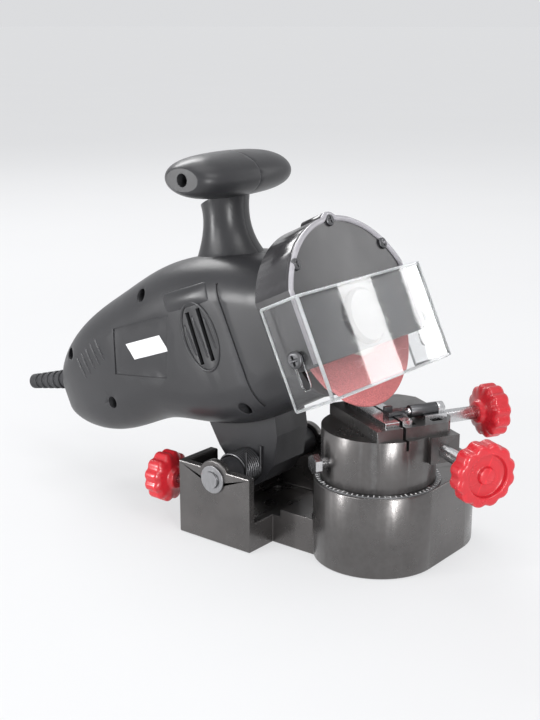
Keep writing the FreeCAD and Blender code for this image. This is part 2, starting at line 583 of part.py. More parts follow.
def make_guard():
    length = "guard_front + guard_back"
    outer = arch("guard_radius", "guard_half_width", -d.guard_front, length)
    inner = arch("guard_radius - guard_wall", "guard_half_width - guard_wall", -d.guard_front,
                 "guard_front + guard_back - guard_plate")
    bosses, holes = [], []
    for x, up in cover_screw_places():
        bosses.append(cylinder("2 * cover_screw_radius", "guard_front + lug_back",
                               (x, -d.guard_front, up), "y"))
        holes.append(cylinder("cover_screw_radius + thread_gap", "cover_screw_length",
                              (x, -d.guard_front, up), "y"))
    lug = cylinder("lug_radius", "guard_front + lug_back",
                   (0, -d.guard_front, d.guard_radius - d.lug_radius / 2), "y")
    pad_inner = d.guard_half_width - d.guard_wall
    for side in SIDES:
        along = "x" if side > 0 else "-x"
        at = (side * pad_inner, -d.visor_screw_forward, -d.visor_screw_drop)
        bosses.append(cylinder("guard_front - visor_screw_forward",
                               "visor_half_width - visor_wall - touch_gap - guard_half_width + guard_wall",
                               at, along))
        holes.append(cylinder("visor_screw_radius + thread_gap", "visor_half_width", at, along))
    shaft_hole = cylinder("front_hub_radius", "3 * guard_plate",
                          (0, d.guard_back - 2 * d.guard_plate, 0), "y")
    part("wheel_guard", cut(fuse(cut(outer, inner), lug, *bosses), shaft_hole, *holes), HEAD)

    plate_start = -d.guard_front - d.cover_thickness
    plate = arch("guard_radius", "guard_half_width", plate_start, "cover_thickness")
    lug_plate = cylinder("lug_radius", "cover_thickness",
                         (0, plate_start, d.guard_radius - d.lug_radius / 2), "y")
    dome = turned([("0", "0"), ("cover_boss_radius", "0"), ("cover_boss_radius", "cover_boss_height / 2"),
                   ("cover_boss_radius - cover_boss_height / 2", "cover_boss_height"),
                   ("0", "cover_boss_height")], (0, plate_start, 0), "-y")
    room = cylinder("cover_boss_radius - cover_thickness", "2 * cover_thickness",
                    (0, plate_start - d.cover_boss_height + d.cover_thickness, 0), "y")
    holes = [cylinder("cover_screw_radius + thread_gap", "3 * cover_thickness",
                      (x, plate_start - d.cover_thickness, up), "y") for x, up in cover_screw_places()]
    part("guard_cover", cut(fuse(plate, lug_plate, dome), room, *holes), HEAD)
    part("cover_screws", group(
        screw("cover_screw_radius", "cover_screw_length", "2 * cover_screw_radius", "cover_screw_radius",
              (x, plate_start, up), "-y") for x, up in cover_screw_places()), HEAD)


def make_visor():
    outer, inner = "visor_half_width", "visor_half_width - visor_wall"
    front, back = "0 - visor_front", "visor_back"
    face = "visor_wall - visor_front"
    shell = padded([(f"0 - {outer}", front), (outer, front), (outer, back), (inner, back), (inner, face),
                    (f"visor_wall - {outer}", face), (f"visor_wall - {outer}", back),
                    (f"0 - {outer}", back)],
                   "visor_top + visor_bottom", (0, 0, -d.visor_bottom))
    slots = []
    for side in SIDES:
        for lower in (0, d.visor_travel):
            slots.append(cylinder("visor_slot_radius", "2 * visor_half_width",
                                  (0, -d.visor_screw_forward, -d.visor_screw_drop - lower),
                                  "x" if side > 0 else "-x"))
    slots.append(box("3 * visor_half_width", "2 * visor_slot_radius", "visor_travel",
                     (0, -d.visor_screw_forward, -d.visor_screw_drop - d.visor_travel)))
    part("visor", cut(shell, *slots), HEAD)
    part("visor_screws", group(
        screw("visor_screw_radius", "visor_half_width - guard_half_width + touch_gap + guard_wall",
              "screw_head_radius", "screw_head_height",
              (side * (d.visor_half_width + d.touch_gap), -d.visor_screw_forward, -d.visor_screw_drop),
              "x" if side > 0 else "-x") for side in SIDES), HEAD)


# ---------------------------------------------------------------- housing shells

# sections of the motor case: back along the axis, middle height, half height, half width
CASE = [(16, 3.5, 40.5, 37), (45, 9.5, 46.5, 38), (100, 18.5, 52, 38.5), (144, 24, 43.5, 36.5),
        (195, 21.5, 37.5, 31), (224, 20, 26, 23.5), (236, 19, 18, 17)]
# corners of the sunk side panel: back along the axis, up
PANEL = [(98, 40), (150, 46), (163, 19), (117, 5)]
# sections of the neck: height, middle, half depth, half width
NECK = [(44, 76, 36, 29), (62, 72, 23, 20), (78, 65, 16, 15), (96, 57, 16.5, 15)]
# sections of the handle: share of its half length, share of its section
HANDLE = [(-1, 0.5), (-0.88, 0.74), (-0.5, 0.95), (0, 1), (0.5, 0.95), (0.88, 0.74), (1, 0.5)]
CORNER = 0.66
# corners of the leg's foot about the pivot pin: back along the motor axis, up
LEG = [(18.1, 16.7), (13.3, 0), (0, 0), (-5.7, -12.2), (-18.7, -5.3), (-29.2, 10.7)]
# screws that hold the shells together, beside those in the handle and the leg: back along the axis, up
CASE_SCREWS = [(176, 3), (118, 58), (206, 43)]
# farther than any face of the case
FAR = 300


def rounded_section(back, middle, high, wide):
    """A rounded rectangle across the motor axis."""
    radius = CORNER * min(high, wide)
    spots, edges = [], []
    for sx, sz in ((1, -1), (1, 1), (-1, 1), (-1, -1)):
        centre = Vector(sx * (wide - radius), back, middle + sz * (high - radius))
        first, last = Vector(sx * radius, 0, 0), Vector(0, 0, sz * radius)
        if sx * sz < 0:
            first, last = last, first
        diagonal = Vector(sx, 0, sz).multiply(radius / math.sqrt(2))
        spots.append((centre.add(first), centre.add(diagonal), centre.add(last)))
    for i, (start, via, end) in enumerate(spots):
        edges.append(Part.Arc(start, via, end).toShape())
        edges.append(Part.LineSegment(end, spots[(i + 1) % 4][0]).toShape())
    return Part.Wire(edges)


def ellipse(centre, long_axis, short_axis):
    curve = Part.Ellipse(centre.add(long_axis), centre.add(short_axis), centre)
    return Part.Wire([curve.toShape()])


def case_form(inset):
    wires = []
    for i, (back, middle, high, wide) in enumerate(CASE):
        shift = -inset if i == len(CASE) - 1 else 0
        wires.append(rounded_section(back + shift, middle, high - inset, wide - inset))
    return Part.makeLoft(wires, True, False)


def neck_form(inset):
    wires = [ellipse(Vector(0, middle, up), Vector(0, deep - inset, 0), Vector(wide - inset, 0, 0))
             for up, middle, deep, wide in NECK]
    return Part.makeLoft(wires, True, False)


def handle_form(inset):
    tilt = math.radians(d.head_tilt)
    level, up = Vector(0, math.cos(tilt), math.sin(tilt)), Vector(0, -math.sin(tilt), math.cos(tilt))
    wires = []
    for along, share in HANDLE:
        reach = along * (d.handle_half_length - inset)
        centre = Vector(reach, d.handle_back, d.handle_up)
        deep = d.handle_depth / 2 * share - inset
        high = d.handle_thickness / 2 * share - inset
        wires.append(ellipse(centre, Vector(level).multiply(deep), Vector(up).multiply(high)))
    return Part.makeLoft(wires, True, False)


def pivot_place():
    """The pivot pin's axis in the head's frame."""
    spot = HEAD.inverse().multVec(Vector(0, 0, d.pivot_height))
    return spot.y, spot.z


def leg_forms():
    """The leg that carries the motor case, the sleeve through its eye and the sleeve's stop ear."""
    back, up = pivot_place()
    spots = [(d.leg_top_front, -d.leg_top_drop), (d.leg_top_back, -d.leg_top_drop)]
    spots += [(back + y, up + z) for y, z in LEG]
    points = [Vector(-d.leg_width / 2, y, z) for y, z in spots]
    face = Part.Face(Part.makePolygon(points + points[:1]))
    leg = face.extrude(Vector(d.leg_width, 0, 0))
    end = Part.makeCylinder(d.leg_end_radius, d.leg_width, Vector(-d.leg_width / 2, back, up),
                            Vector(1, 0, 0))
    reach = d.bracket_width / 2 - d.casting_wall - d.side_gap
    barrel = Part.makeCylinder(d.barrel_radius, 2 * reach, Vector(-reach, back, up), Vector(1, 0, 0))
    ear = Part.makeBox(d.stop_ear_width, d.stop_ear_thickness, d.stop_ear_reach,
                       Vector(-d.stop_offset - d.stop_ear_width / 2, -d.stop_ear_thickness / 2,
                              d.pivot_height - d.stop_ear_reach))
    ear.Placement = HEAD.inverse()
    return leg.fuse(end), barrel, ear


def ribs(inside):
    """Cross walls inside the case, each bored for what it holds."""
    walls = [(d.core_start + d.rib_thickness, d.rib_thickness, d.stator_radius + d.thread_gap, 0),
             (d.core_start + d.core_length - 2 * d.rib_thickness, d.rib_thickness,
              d.stator_radius + d.thread_gap, 0),
             (d.brush_start + d.brush_width, d.rib_thickness, d.commutator_radius + d.brush_wall, 0),
             (d.rear_bearing_at, d.bearing_thickness, d.rear_bearing_radius + d.thread_gap, 0),
             (d.cord_rib_at, d.rib_thickness, d.boot_bore_radius, d.boot_up - d.cord_drop)]
    shapes = []
    for start, thickness, bore, up in walls:
        slab = Part.makeBox(2 * FAR, thickness, 2 * FAR, Vector(-FAR, start, -FAR))
        hole = Part.makeCylinder(bore, 3 * thickness, Vector(0, start - thickness, up), Vector(0, 1, 0))
        shapes.append(inside.common(slab).cut(hole))
    return shapes


def case_screw_places():
    """Where the two shells are screwed together: back along the axis, up, and the screw's length."""
    places = [(d.leg_screw_back, -d.leg_screw_drop, "leg_screw_length")]
    return places + [(back, up, "case_screw_length")
                     for back, up in CASE_SCREWS + [(d.handle_back, d.handle_up)]]


def relief(outer):
    """Skin to take off the case: a groove behind the front band and a sunk panel on the left side."""
    skin = outer.cut(case_form(d.relief_depth))
    band = Part.makeBox(2 * FAR, d.groove_width, d.groove_low + d.groove_top,
                        Vector(-FAR, d.groove_at, -d.groove_low))
    corners = [Vector(-FAR, back, up) for back, up in PANEL]
    panel = Part.Face(Part.makePolygon(corners + corners[:1])).extrude(Vector(FAR, 0, 0))
    return [skin.common(band), skin.common(panel)]


def vents():
    """Two slanting air slots through each side of the case."""
    slots = []
    for back in (d.vent_at, d.vent_at + d.vent_pitch):
        slot = Part.makeBox(2 * FAR, d.vent_width, d.vent_length,
                            Vector(-FAR, -d.vent_width / 2, -d.vent_length / 2))
        slot.Placement = Placement(Vector(0, back, d.vent_up), Rotation(Vector(1, 0, 0), d.vent_slant))
        core = Part.makeBox(2 * d.vent_keep, 2 * FAR, 2 * FAR, Vector(-d.vent_keep, -FAR, -FAR))
        slots.append(slot.cut(core))
    return slots


def make_housing():
    case = case_form(0)
    outside = case.fuse([neck_form(0), handle_form(0)])
    inside = case_form(d.shell_wall)
    front_cut = Part.makeBox(2 * FAR, FAR, 2 * FAR, Vector(-FAR, d.guard_back - FAR, -FAR))
    hollow = inside.fuse([handle_form(d.shell_wall)])
    inner_neck = neck_form(2 * d.shell_wall)
    hollow = hollow.fuse([inner_neck])
    posts = []
    for back, up, length in case_screw_places():
        post = Part.makeCylinder(d.case_boss_radius, 2 * FAR, Vector(-FAR, back, up), Vector(1, 0, 0))
        posts.append(post.common(hollow))
    shell = outside.cut(hollow).fuse(ribs(inside) + posts)
    seat_half = (d.switch_length / 2 + d.switch_rim, d.switch_width / 2 + d.switch_rim)
    seat = Part.makeBox(d.switch_depth, 2 * seat_half[0], 2 * seat_half[1],
                        Vector(d.switch_seat - d.switch_depth, d.switch_back - seat_half[0],
                               d.switch_up - seat_half[1]))
    shell = shell.fuse(seat)
    leg, sleeve, ear = leg_forms()
    tools = [front_cut, leg.fuse([sleeve, ear]),
             Part.makeBox(4 * d.switch_depth, d.switch_length + d.touch_gap, d.switch_width + d.touch_gap,
                          Vector(d.switch_seat - 2 * d.switch_depth,
                                 d.switch_back - d.switch_length / 2 - d.touch_gap / 2,
                                 d.switch_up - d.switch_width / 2 - d.touch_gap / 2))]
    boot_way = Part.makeCylinder(d.boot_radius, d.boot_length, Vector(0, 0, -d.boot_length / 2))
    boot_way.Placement = boot_frame()
    tools += [boot_way] + relief(case) + vents()
    screw_ways = []
    for back, up, length in case_screw_places():
        seat = Vector(-number(length) / 2, back, up)
        screw_ways.append(Part.makeCylinder(d.case_screw_radius + d.thread_gap, number(length), seat,
                                            Vector(1, 0, 0)))
        screw_ways.append(Part.makeCylinder(d.case_screw_head + d.touch_gap, FAR, seat, Vector(-1, 0, 0)))
    for tool in tools + screw_ways:
        shell = shell.cut(tool)
    back, up = pivot_place()
    pin_way = Part.makeCylinder(d.pin_radius + d.running_gap, 2 * FAR, Vector(-FAR, back, up),
                                Vector(1, 0, 0))
    part("pivot_leg", solid(leg.cut([sleeve] + screw_ways)), HEAD)
    part("pivot_sleeve", solid(sleeve.cut(pin_way)), HEAD)
    part("stop_ear", solid(ear.cut(sleeve)), HEAD)
    for name, side in (("left_shell", -1), ("right_shell", 1)):
        region = Part.makeBox(FAR, 2 * FAR, 2 * FAR, Vector(0 if side > 0 else -FAR, -FAR, -FAR))
        half = shell.common(region)
        solids = sorted(half.Solids, key=lambda piece: -piece.Volume)
        part(name, solid(solids[0]), HEAD)
    part("case_screws", group(
        screw("case_screw_radius", length, "case_screw_head", "case_screw_head / 2",
              (-number(length) / 2, back, up), "-x") for back, up, length in case_screw_places()), HEAD)


def boot_frame():
    """The cord boot's frame: its Z runs out of the case, a little upwards."""
    turn = Rotation(Vector(1, 0, 0), -90 + d.boot_rise)
    rise = math.radians(d.boot_rise)
    seat = CASE[-1][0] - d.shell_wall - d.touch_gap
    back = seat - d.boot_flange * math.cos(rise) - d.boot_flange_radius * math.sin(rise)
    return Placement(Vector(0, back, d.boot_up), turn)


def make_switch_and_boot():
    centre = (d.switch_seat - d.switch_depth / 2 + d.switch_rim / 2, d.switch_back, d.switch_up)
    case = box("switch_depth + switch_rim", "switch_length", "switch_width",
               (centre[0], centre[1], centre[2] - d.switch_width / 2))
    rim = box("switch_rim", "switch_length + 2 * switch_rim", "switch_width + 2 * switch_rim",
              (d.switch_seat + d.switch_rim / 2, d.switch_back,
               d.switch_up - d.switch_width / 2 - d.switch_rim))
    well = box("2 * switch_depth", "switch_length - 2 * switch_rim", "switch_width - 2 * switch_rim",
               (d.switch_seat + d.switch_rim, d.switch_back,
                d.switch_up - d.switch_width / 2 + d.switch_rim))
    part("switch_body", cut(fuse(case, rim), well), HEAD)
    inner_width = "switch_width - 2 * switch_rim - 2 * rocker_gap"
    pivot_x = d.switch_seat + d.switch_rim - d.rocker_drop
    disc = cylinder("switch_length / 2 - switch_rim - rocker_gap", inner_width,
                    (pivot_x, d.switch_back, d.switch_up - number(inner_width) / 2))
    keep = box("rocker_drop + switch_rim * 2", "switch_length", inner_width,
               (pivot_x + d.rocker_drop / 2 - d.switch_rim, d.switch_back,
                d.switch_up - number(inner_width) / 2))
    part("rocker", common(disc, keep), HEAD)

    points = [("boot_bore_radius", "0"), ("boot_flange_radius", "0"), ("boot_flange_radius", "boot_flange"),
              ("boot_radius - thread_gap", "boot_flange"), ("boot_radius - thread_gap", "boot_flange * 4")]
    count = int(d.boot_ribs)
    for i in range(count):
        share = (i + 0.5) / count
        radius = f"boot_radius - boot_radius * {share:.4f} + boot_tip_radius * {share:.4f}"
        start = f"boot_flange * 4 + boot_length * {0.8 * i / count:.4f}"
        points += [(f"{radius} - boot_flange / 3", start),
                   (f"{radius} - boot_flange / 3", f"{start} + boot_flange / 2"),
                   (radius, f"{start} + boot_flange / 2"), (radius, f"{start} + boot_flange * 1.7")]
    points += [("boot_tip_radius", "boot_length"), ("boot_bore_radius", "boot_length")]
    boot = turned(points)
    boot.Placement = boot_frame()
    part("cord_boot", boot, HEAD)
    plate_up = d.boot_up - d.cord_drop
    part("suppressor_capacitor", box(
        "capacitor_width", "capacitor_length", "capacitor_height",
        (0, d.rear_bearing_at + d.bearing_thickness + d.capacitor_length / 2, d.capacitor_up)), HEAD)
    part("cord_clamp", cut(
        box("6 * boot_bore_radius", "clamp_plate", "4 * boot_bore_radius",
            (0, d.cord_rib_at - d.clamp_plate / 2, plate_up - 2 * d.boot_bore_radius)),
        cylinder("boot_bore_radius", "3 * clamp_plate",
                 (0, d.cord_rib_at - 2 * d.clamp_plate, plate_up), "y")),
        HEAD)


# ---------------------------------------------------------------- build, check and write

def build():
    make_base()
    make_pivot()
    make_depth_stop()
    make_jaws(make_turret())
    make_chain_stop()
    make_rotor()
    make_motor()
    make_guard()
    make_visor()
    make_housing()
    make_switch_and_boot()


def check_and_write():
    doc.recompute()
    for item in doc.Objects:
        if {"Invalid", "Error"} & set(item.State):
            raise RuntimeError(f"{item.Label} failed to build: {item.State}")
    os.makedirs("parts", exist_ok=True)
    for item in PARTS:
        shape = item.Shape
        if shape.isNull() or not shape.isValid() or not shape.Solids:
            raise RuntimeError(f"{item.Label} has no valid solid")
    for item in PARTS:
        item.Shape.exportStep(f"parts/{item.Label}.step")
        extent = item.Shape.BoundBox
        print(f"{item.Label:20s} solids {len(item.Shape.Solids)}  volume {item.Shape.Volume:10.0f}  "
              f"X {extent.XMin:7.1f} {extent.XMax:7.1f}  Y {extent.YMin:7.1f} {extent.YMax:7.1f}  "
              f"Z {extent.ZMin:7.1f} {extent.ZMax:7.1f}")


build()
check_and_write()
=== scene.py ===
"""Studio scene of a bench sharpener for saw chains, dressed round its solid model."""
import math

import bmesh
import bpy
from bpy.props import FloatProperty, FloatVectorProperty, IntProperty, PointerProperty
from mathutils import Matrix, Vector
from mathutils.bvhtree import BVHTree


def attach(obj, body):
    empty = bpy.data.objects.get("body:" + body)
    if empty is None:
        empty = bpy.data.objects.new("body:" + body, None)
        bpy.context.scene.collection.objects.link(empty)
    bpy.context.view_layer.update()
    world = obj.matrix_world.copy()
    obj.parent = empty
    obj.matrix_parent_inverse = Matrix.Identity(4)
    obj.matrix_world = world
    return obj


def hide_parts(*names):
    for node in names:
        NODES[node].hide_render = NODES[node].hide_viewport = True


bl_info = {
    "name": "Saw-chain sharpener",
    "version": (1, 0, 0),
    "blender": (4, 5, 0),
    "location": "3D View > Sidebar > Sharpener",
    "description": "Builds the finishes, knobs, screws, visor edges and studio of a bench chain sharpener",
    "category": "Object",
}

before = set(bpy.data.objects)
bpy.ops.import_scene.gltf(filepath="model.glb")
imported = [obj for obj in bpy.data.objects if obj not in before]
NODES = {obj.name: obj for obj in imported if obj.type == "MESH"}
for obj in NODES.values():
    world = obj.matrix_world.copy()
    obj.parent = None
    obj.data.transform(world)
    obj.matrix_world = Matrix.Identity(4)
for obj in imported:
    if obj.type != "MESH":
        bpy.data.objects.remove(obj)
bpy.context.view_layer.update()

MM = 0.001
HEAD_TILT = 25.0
VISE_ANGLE = 28.0
# the head's frame has its origin at the grinding wheel: X, back along the motor axis, up from it
HEAD = Matrix.Translation((0, -0.0629, 0.1363)) @ Matrix.Rotation(math.radians(-HEAD_TILT), 4, "X")
# the vise's frame stands on the swivel axis: across the chain, along the chain, up
VISE = Matrix.Translation((0, -0.084, 0)) @ Matrix.Rotation(math.radians(-VISE_ANGLE), 4, "Z")
ROW = Matrix.Identity(4)
ALONG = {
    "x": Matrix.Rotation(math.radians(90), 4, "Y"), "-x": Matrix.Rotation(math.radians(-90), 4, "Y"),
    "y": Matrix.Rotation(math.radians(-90), 4, "X"), "-y": Matrix.Rotation(math.radians(90), 4, "X"),
    "z": Matrix.Identity(4), "-z": Matrix.Rotation(math.radians(180), 4, "X"),
}


def length(name, description, default):
    return FloatProperty(name=name, description=description, default=default, unit="LENGTH", min=0.0)


def colour(name, description, default):
    return FloatVectorProperty(name=name, description=description, default=default, subtype="COLOR",
                               size=3, min=0.0, max=1.0)


class SharpenerSizes(bpy.types.PropertyGroup):
    """Sizes that a user may change."""

    knob_flutes: IntProperty(name="Knob flutes", description="Finger flutes round each red knob",
                             default=12, min=5, max=16)
    flute_depth: length("Flute depth", "How far a flute sinks into a knob's rim", 0.0013)
    knob_recess: length("Knob recess", "Depth of the round recess in a knob's face", 0.003)
    edge_round: length("Casting edge", "Rounding of the castings' edges", 0.0009)
    moulded_round: length("Moulded edge", "Rounding of the moulded cases' edges", 0.0007)
    # the bead round the visor is milky white, a painted highlight of its bright edges
    visor_edge: length("Visor edge", "Radius of the frosted bead round the visor", 0.0009)
    cover_bead: length("Cover bead", "Radius of the bead round the guard cover", 0.0017)
    tick_width: length("Tick width", "Width of a mark on the angle scale", 0.0005)


class SharpenerColours(bpy.types.PropertyGroup):
    """Colours that a user may change."""

    paint: colour("Casting paint", "Dark paint on the base and the vise", (0.11, 0.104, 0.102))
    case: colour("Motor case", "Satin plastic of the motor case", (0.026, 0.026, 0.028))
    guard: colour("Guard", "Glossy plastic of the wheel guard", (0.032, 0.031, 0.033))
    knob: colour("Knobs", "Red plastic of the knobs", (0.46, 0.012, 0.02))
    grit: colour("Grinding wheel", "Bonded grit of the wheel", (0.62, 0.19, 0.19))
    steel: colour("Bright steel", "Plated rods, pins and screws", (0.66, 0.66, 0.67))


def sizes():
    return bpy.context.scene.sharpener_sizes


def colours():
    return bpy.context.scene.sharpener_colours


# ---------------------------------------------------------------- materials

class Graph:
    """A short way to write a node material on one Principled shader."""

    def __init__(self, name):
        self.material = bpy.data.materials.new(name)
        self.material.use_nodes = True
        self.tree = self.material.node_tree
        self.shader = next(n for n in self.tree.nodes if n.type == "BSDF_PRINCIPLED")
        self.place = self.node("ShaderNodeTexCoord").outputs["Object"]

    def node(self, kind, **settings):
        item = self.tree.nodes.new(kind)
        for key, value in settings.items():
            setattr(item, key, value)
        return item

    def link(self, source, target):
        self.tree.links.new(source, target)
        return source

    def stretched(self, scale):
        mapping = self.node("ShaderNodeMapping")
        mapping.inputs["Scale"].default_value = scale
        self.link(self.place, mapping.inputs["Vector"])
        return mapping.outputs["Vector"]

    def noise(self, scale, detail=4.0, stretch=None, rough=0.55):
        item = self.node("ShaderNodeTexNoise")
        item.inputs["Scale"].default_value = scale
        item.inputs["Detail"].default_value = detail
        item.inputs["Roughness"].default_value = rough
        self.link(self.stretched(stretch) if stretch else self.place, item.inputs["Vector"])
        return item.outputs["Fac"]

    def cells(self, scale, feature="F1"):
        item = self.node("ShaderNodeTexVoronoi", feature=feature)
        item.inputs["Scale"].default_value = scale
        self.link(self.place, item.inputs["Vector"])
        return item

    def spread(self, value, low, high, start=0.3, end=0.7):
        item = self.node("ShaderNodeMapRange")
        for key, number in (("From Min", start), ("From Max", end), ("To Min", low), ("To Max", high)):
            item.inputs[key].default_value = number
        self.link(value, item.inputs["Value"])
        return item.outputs["Result"]

    def blend(self, factor, first, second):
        item = self.node("ShaderNodeMix", data_type="RGBA")
        self.link(factor, item.inputs["Factor"])
        for key, value in (("A", first), ("B", second)):
            socket = next(s for s in item.inputs if s.name == key and s.type == "RGBA")
            if isinstance(value, (tuple, list)) or hasattr(value, "hsv"):
                socket.default_value = (*value[:3], 1.0)
            else:
                self.link(value, socket)
        return next(s for s in item.outputs if s.type == "RGBA")

    def worn_edges(self, colour_out, worn, amount, start=0.52, end=0.6):
        """Lighter paint along sharp edges, broken up by noise."""
        point = self.node("ShaderNodeNewGeometry").outputs["Pointiness"]
        edge = self.spread(point, 0.0, amount, start, end)
        broken = self.node("ShaderNodeMath", operation="MULTIPLY")
        self.link(edge, broken.inputs[0])
        self.link(self.spread(self.noise(260.0), 0.2, 1.0), broken.inputs[1])
        return self.blend(broken.outputs[0], colour_out, worn)

    def bump(self, height, strength, distance, under=None):
        item = self.node("ShaderNodeBump")
        item.inputs["Strength"].default_value = strength
        item.inputs["Distance"].default_value = distance
        self.link(height, item.inputs["Height"])
        if under is not None:
            self.link(under, item.inputs["Normal"])
        return item.outputs["Normal"]

    def wire(self, **sockets):
        for key, value in sockets.items():
            socket = self.shader.inputs[key.replace("_", " ")]
            if isinstance(value, bpy.types.NodeSocket):
                self.link(value, socket)
            else:
                socket.default_value = value
        return self.material


def shade(rgb, factor):
    return tuple(min(1.0, c * factor) for c in rgb[:3])


def plastic(name, rgb, low, high, grain=900.0, depth=0.00012, coat=0.0, gloss=0.5):
    """Moulded plastic: a fine spark-eroded grain, soft smears in its gloss, paler rubbed edges."""
    g = Graph(name)
    tone = g.blend(g.spread(g.noise(14.0), 0.0, 1.0), shade(rgb, 0.86), shade(rgb, 1.14))
    tone = g.worn_edges(tone, shade(rgb, 2.4), 0.35)
    skin = g.bump(g.noise(grain, 2.0), 0.25, depth)
    return g.wire(Base_Color=tone, Roughness=g.spread(g.noise(34.0, 5.0), low, high), Normal=skin,
                  Coat_Weight=coat, Coat_Roughness=0.12, Specular_IOR_Level=gloss)


def painted(name, rgb, low, high):
    """Paint over a sand casting: orange peel on a slow swell, chips of primer on edges, dust specks."""
    g = Graph(name)
    tone = g.blend(g.spread(g.noise(22.0), 0.0, 1.0), shade(rgb, 0.82), shade(rgb, 1.2))
    specks = g.spread(g.cells(520.0).outputs["Distance"], 1.0, 0.0, 0.02, 0.08)
    tone = g.blend(g.spread(specks, 0.0, 0.25, 0.0, 1.0), tone, shade(rgb, 2.6))
    tone = g.worn_edges(tone, (0.2, 0.2, 0.2), 0.5)
    swell = g.bump(g.noise(55.0, 2.0), 0.12, 0.0006)
    peel = g.bump(g.noise(480.0, 3.0), 0.2, 0.00018, swell)
    return g.wire(Base_Color=tone, Roughness=g.spread(g.noise(60.0, 5.0), low, high), Normal=peel,
                  Metallic=0.8, Coat_Weight=0.15, Coat_Roughness=0.3)


def metal(name, rgb, low, high, stretch=(60.0, 60.0, 6.0), grain=40.0):
    """Turned or drawn metal with its fine lines along one direction."""
    g = Graph(name)
    lines = g.noise(grain, 6.0, stretch)
    tone = g.blend(g.spread(lines, 0.0, 1.0), shade(rgb, 0.8), shade(rgb, 1.1))
    tone = g.blend(g.spread(g.noise(30.0), 0.0, 0.35), tone, shade(rgb, 0.6))
    return g.wire(Base_Color=tone, Roughness=g.spread(lines, low, high), Metallic=1.0,
                  Normal=g.bump(lines, 0.12, 0.00005))


def grit(name, rgb):
    """Bonded abrasive: pink-red grains with pale sparkles and small dark pores."""
    g = Graph(name)
    grains = g.cells(1500.0)
    near = g.spread(grains.outputs["Distance"], 0.0, 1.0, 0.1, 0.6)
    tone = g.blend(near, shade(rgb, 1.25), shade(rgb, 0.72))
    pale = g.spread(g.cells(2300.0).outputs["Distance"], 0.55, 0.0, 0.05, 0.2)
    tone = g.blend(pale, tone, (0.85, 0.6, 0.58))
    pores = g.spread(g.noise(1100.0, 3.0), 0.0, 0.7, 0.6, 0.75)
    tone = g.blend(pores, tone, shade(rgb, 0.35))
    rough = g.bump(grains.outputs["Distance"], 0.6, 0.0004)
    return g.wire(Base_Color=tone, Roughness=g.spread(g.noise(300.0), 0.75, 0.95), Normal=rough)


def clear(name, tint, roughness):
    """Clear moulded plastic with faint swirls of wear in its gloss."""
    g = Graph(name)
    haze = g.spread(g.noise(90.0, 6.0, (1.0, 1.0, 7.0)), roughness, roughness + 0.05, 0.45, 0.8)
    tone = g.blend(g.spread(g.noise(25.0), 0.0, 1.0), tint, shade(tint, 0.97))
    return g.wire(Base_Color=tone, Roughness=haze, IOR=1.49, Transmission_Weight=1.0,
                  Normal=g.bump(g.noise(40.0, 1.0), 0.04, 0.0004))


def painted_edge_highlight(name, rgb):
    """Milky white plastic for the visor's edges: a painted highlight standing for the bright light along a
    clear part's edges.
    """
    g = Graph(name)
    tone = g.blend(g.spread(g.noise(200.0), 0.0, 1.0), shade(rgb, 0.85), rgb)
    return g.wire(Base_Color=tone, Roughness=g.spread(g.noise(500.0), 0.25, 0.45), IOR=1.49,
                  Transmission_Weight=0.25, Normal=g.bump(g.noise(700.0), 0.2, 0.0001))


def rubber(name, rgb):
    g = Graph(name)
    tone = g.blend(g.spread(g.noise(40.0), 0.0, 1.0), shade(rgb, 0.8), shade(rgb, 1.5))
    return g.wire(Base_Color=tone, Roughness=g.spread(g.noise(300.0), 0.62, 0.8),
                  Normal=g.bump(g.noise(1400.0, 2.0), 0.3, 0.0001))


def wound_wire(name, rgb):
    """Enamelled wire laid in turns."""
    g = Graph(name)
    wave = g.node("ShaderNodeTexWave", bands_direction="Y")
    wave.inputs["Scale"].default_value = 420.0
    wave.inputs["Distortion"].default_value = 2.0
    g.link(g.place, wave.inputs["Vector"])
    turns = wave.outputs["Fac"]
    tone = g.blend(turns, shade(rgb, 0.4), shade(rgb, 1.15))
    return g.wire(Base_Color=tone, Roughness=g.spread(turns, 0.45, 0.3, 0.0, 1.0), Metallic=0.7,
                  Normal=g.bump(turns, 0.5, 0.0003))


def sheet_stack(name, rgb):
    """Thin steel sheets stacked along the motor axis."""
    g = Graph(name)
    turned = g.node("ShaderNodeMapping")
    turned.inputs["Rotation"].default_value = (math.radians(HEAD_TILT), 0.0, 0.0)
    g.link(g.place, turned.inputs["Vector"])
    wave = g.node("ShaderNodeTexWave", bands_direction="Y")
    wave.inputs["Scale"].default_value = 650.0
    g.link(turned.outputs["Vector"], wave.inputs["Vector"])
    tone = g.blend(wave.outputs["Fac"], shade(rgb, 0.6), shade(rgb, 1.1))
    return g.wire(Base_Color=tone, Roughness=g.spread(g.noise(80.0), 0.35, 0.55), Metallic=1.0,
                  Normal=g.bump(wave.outputs["Fac"], 0.4, 0.0002))


MATERIALS = {}


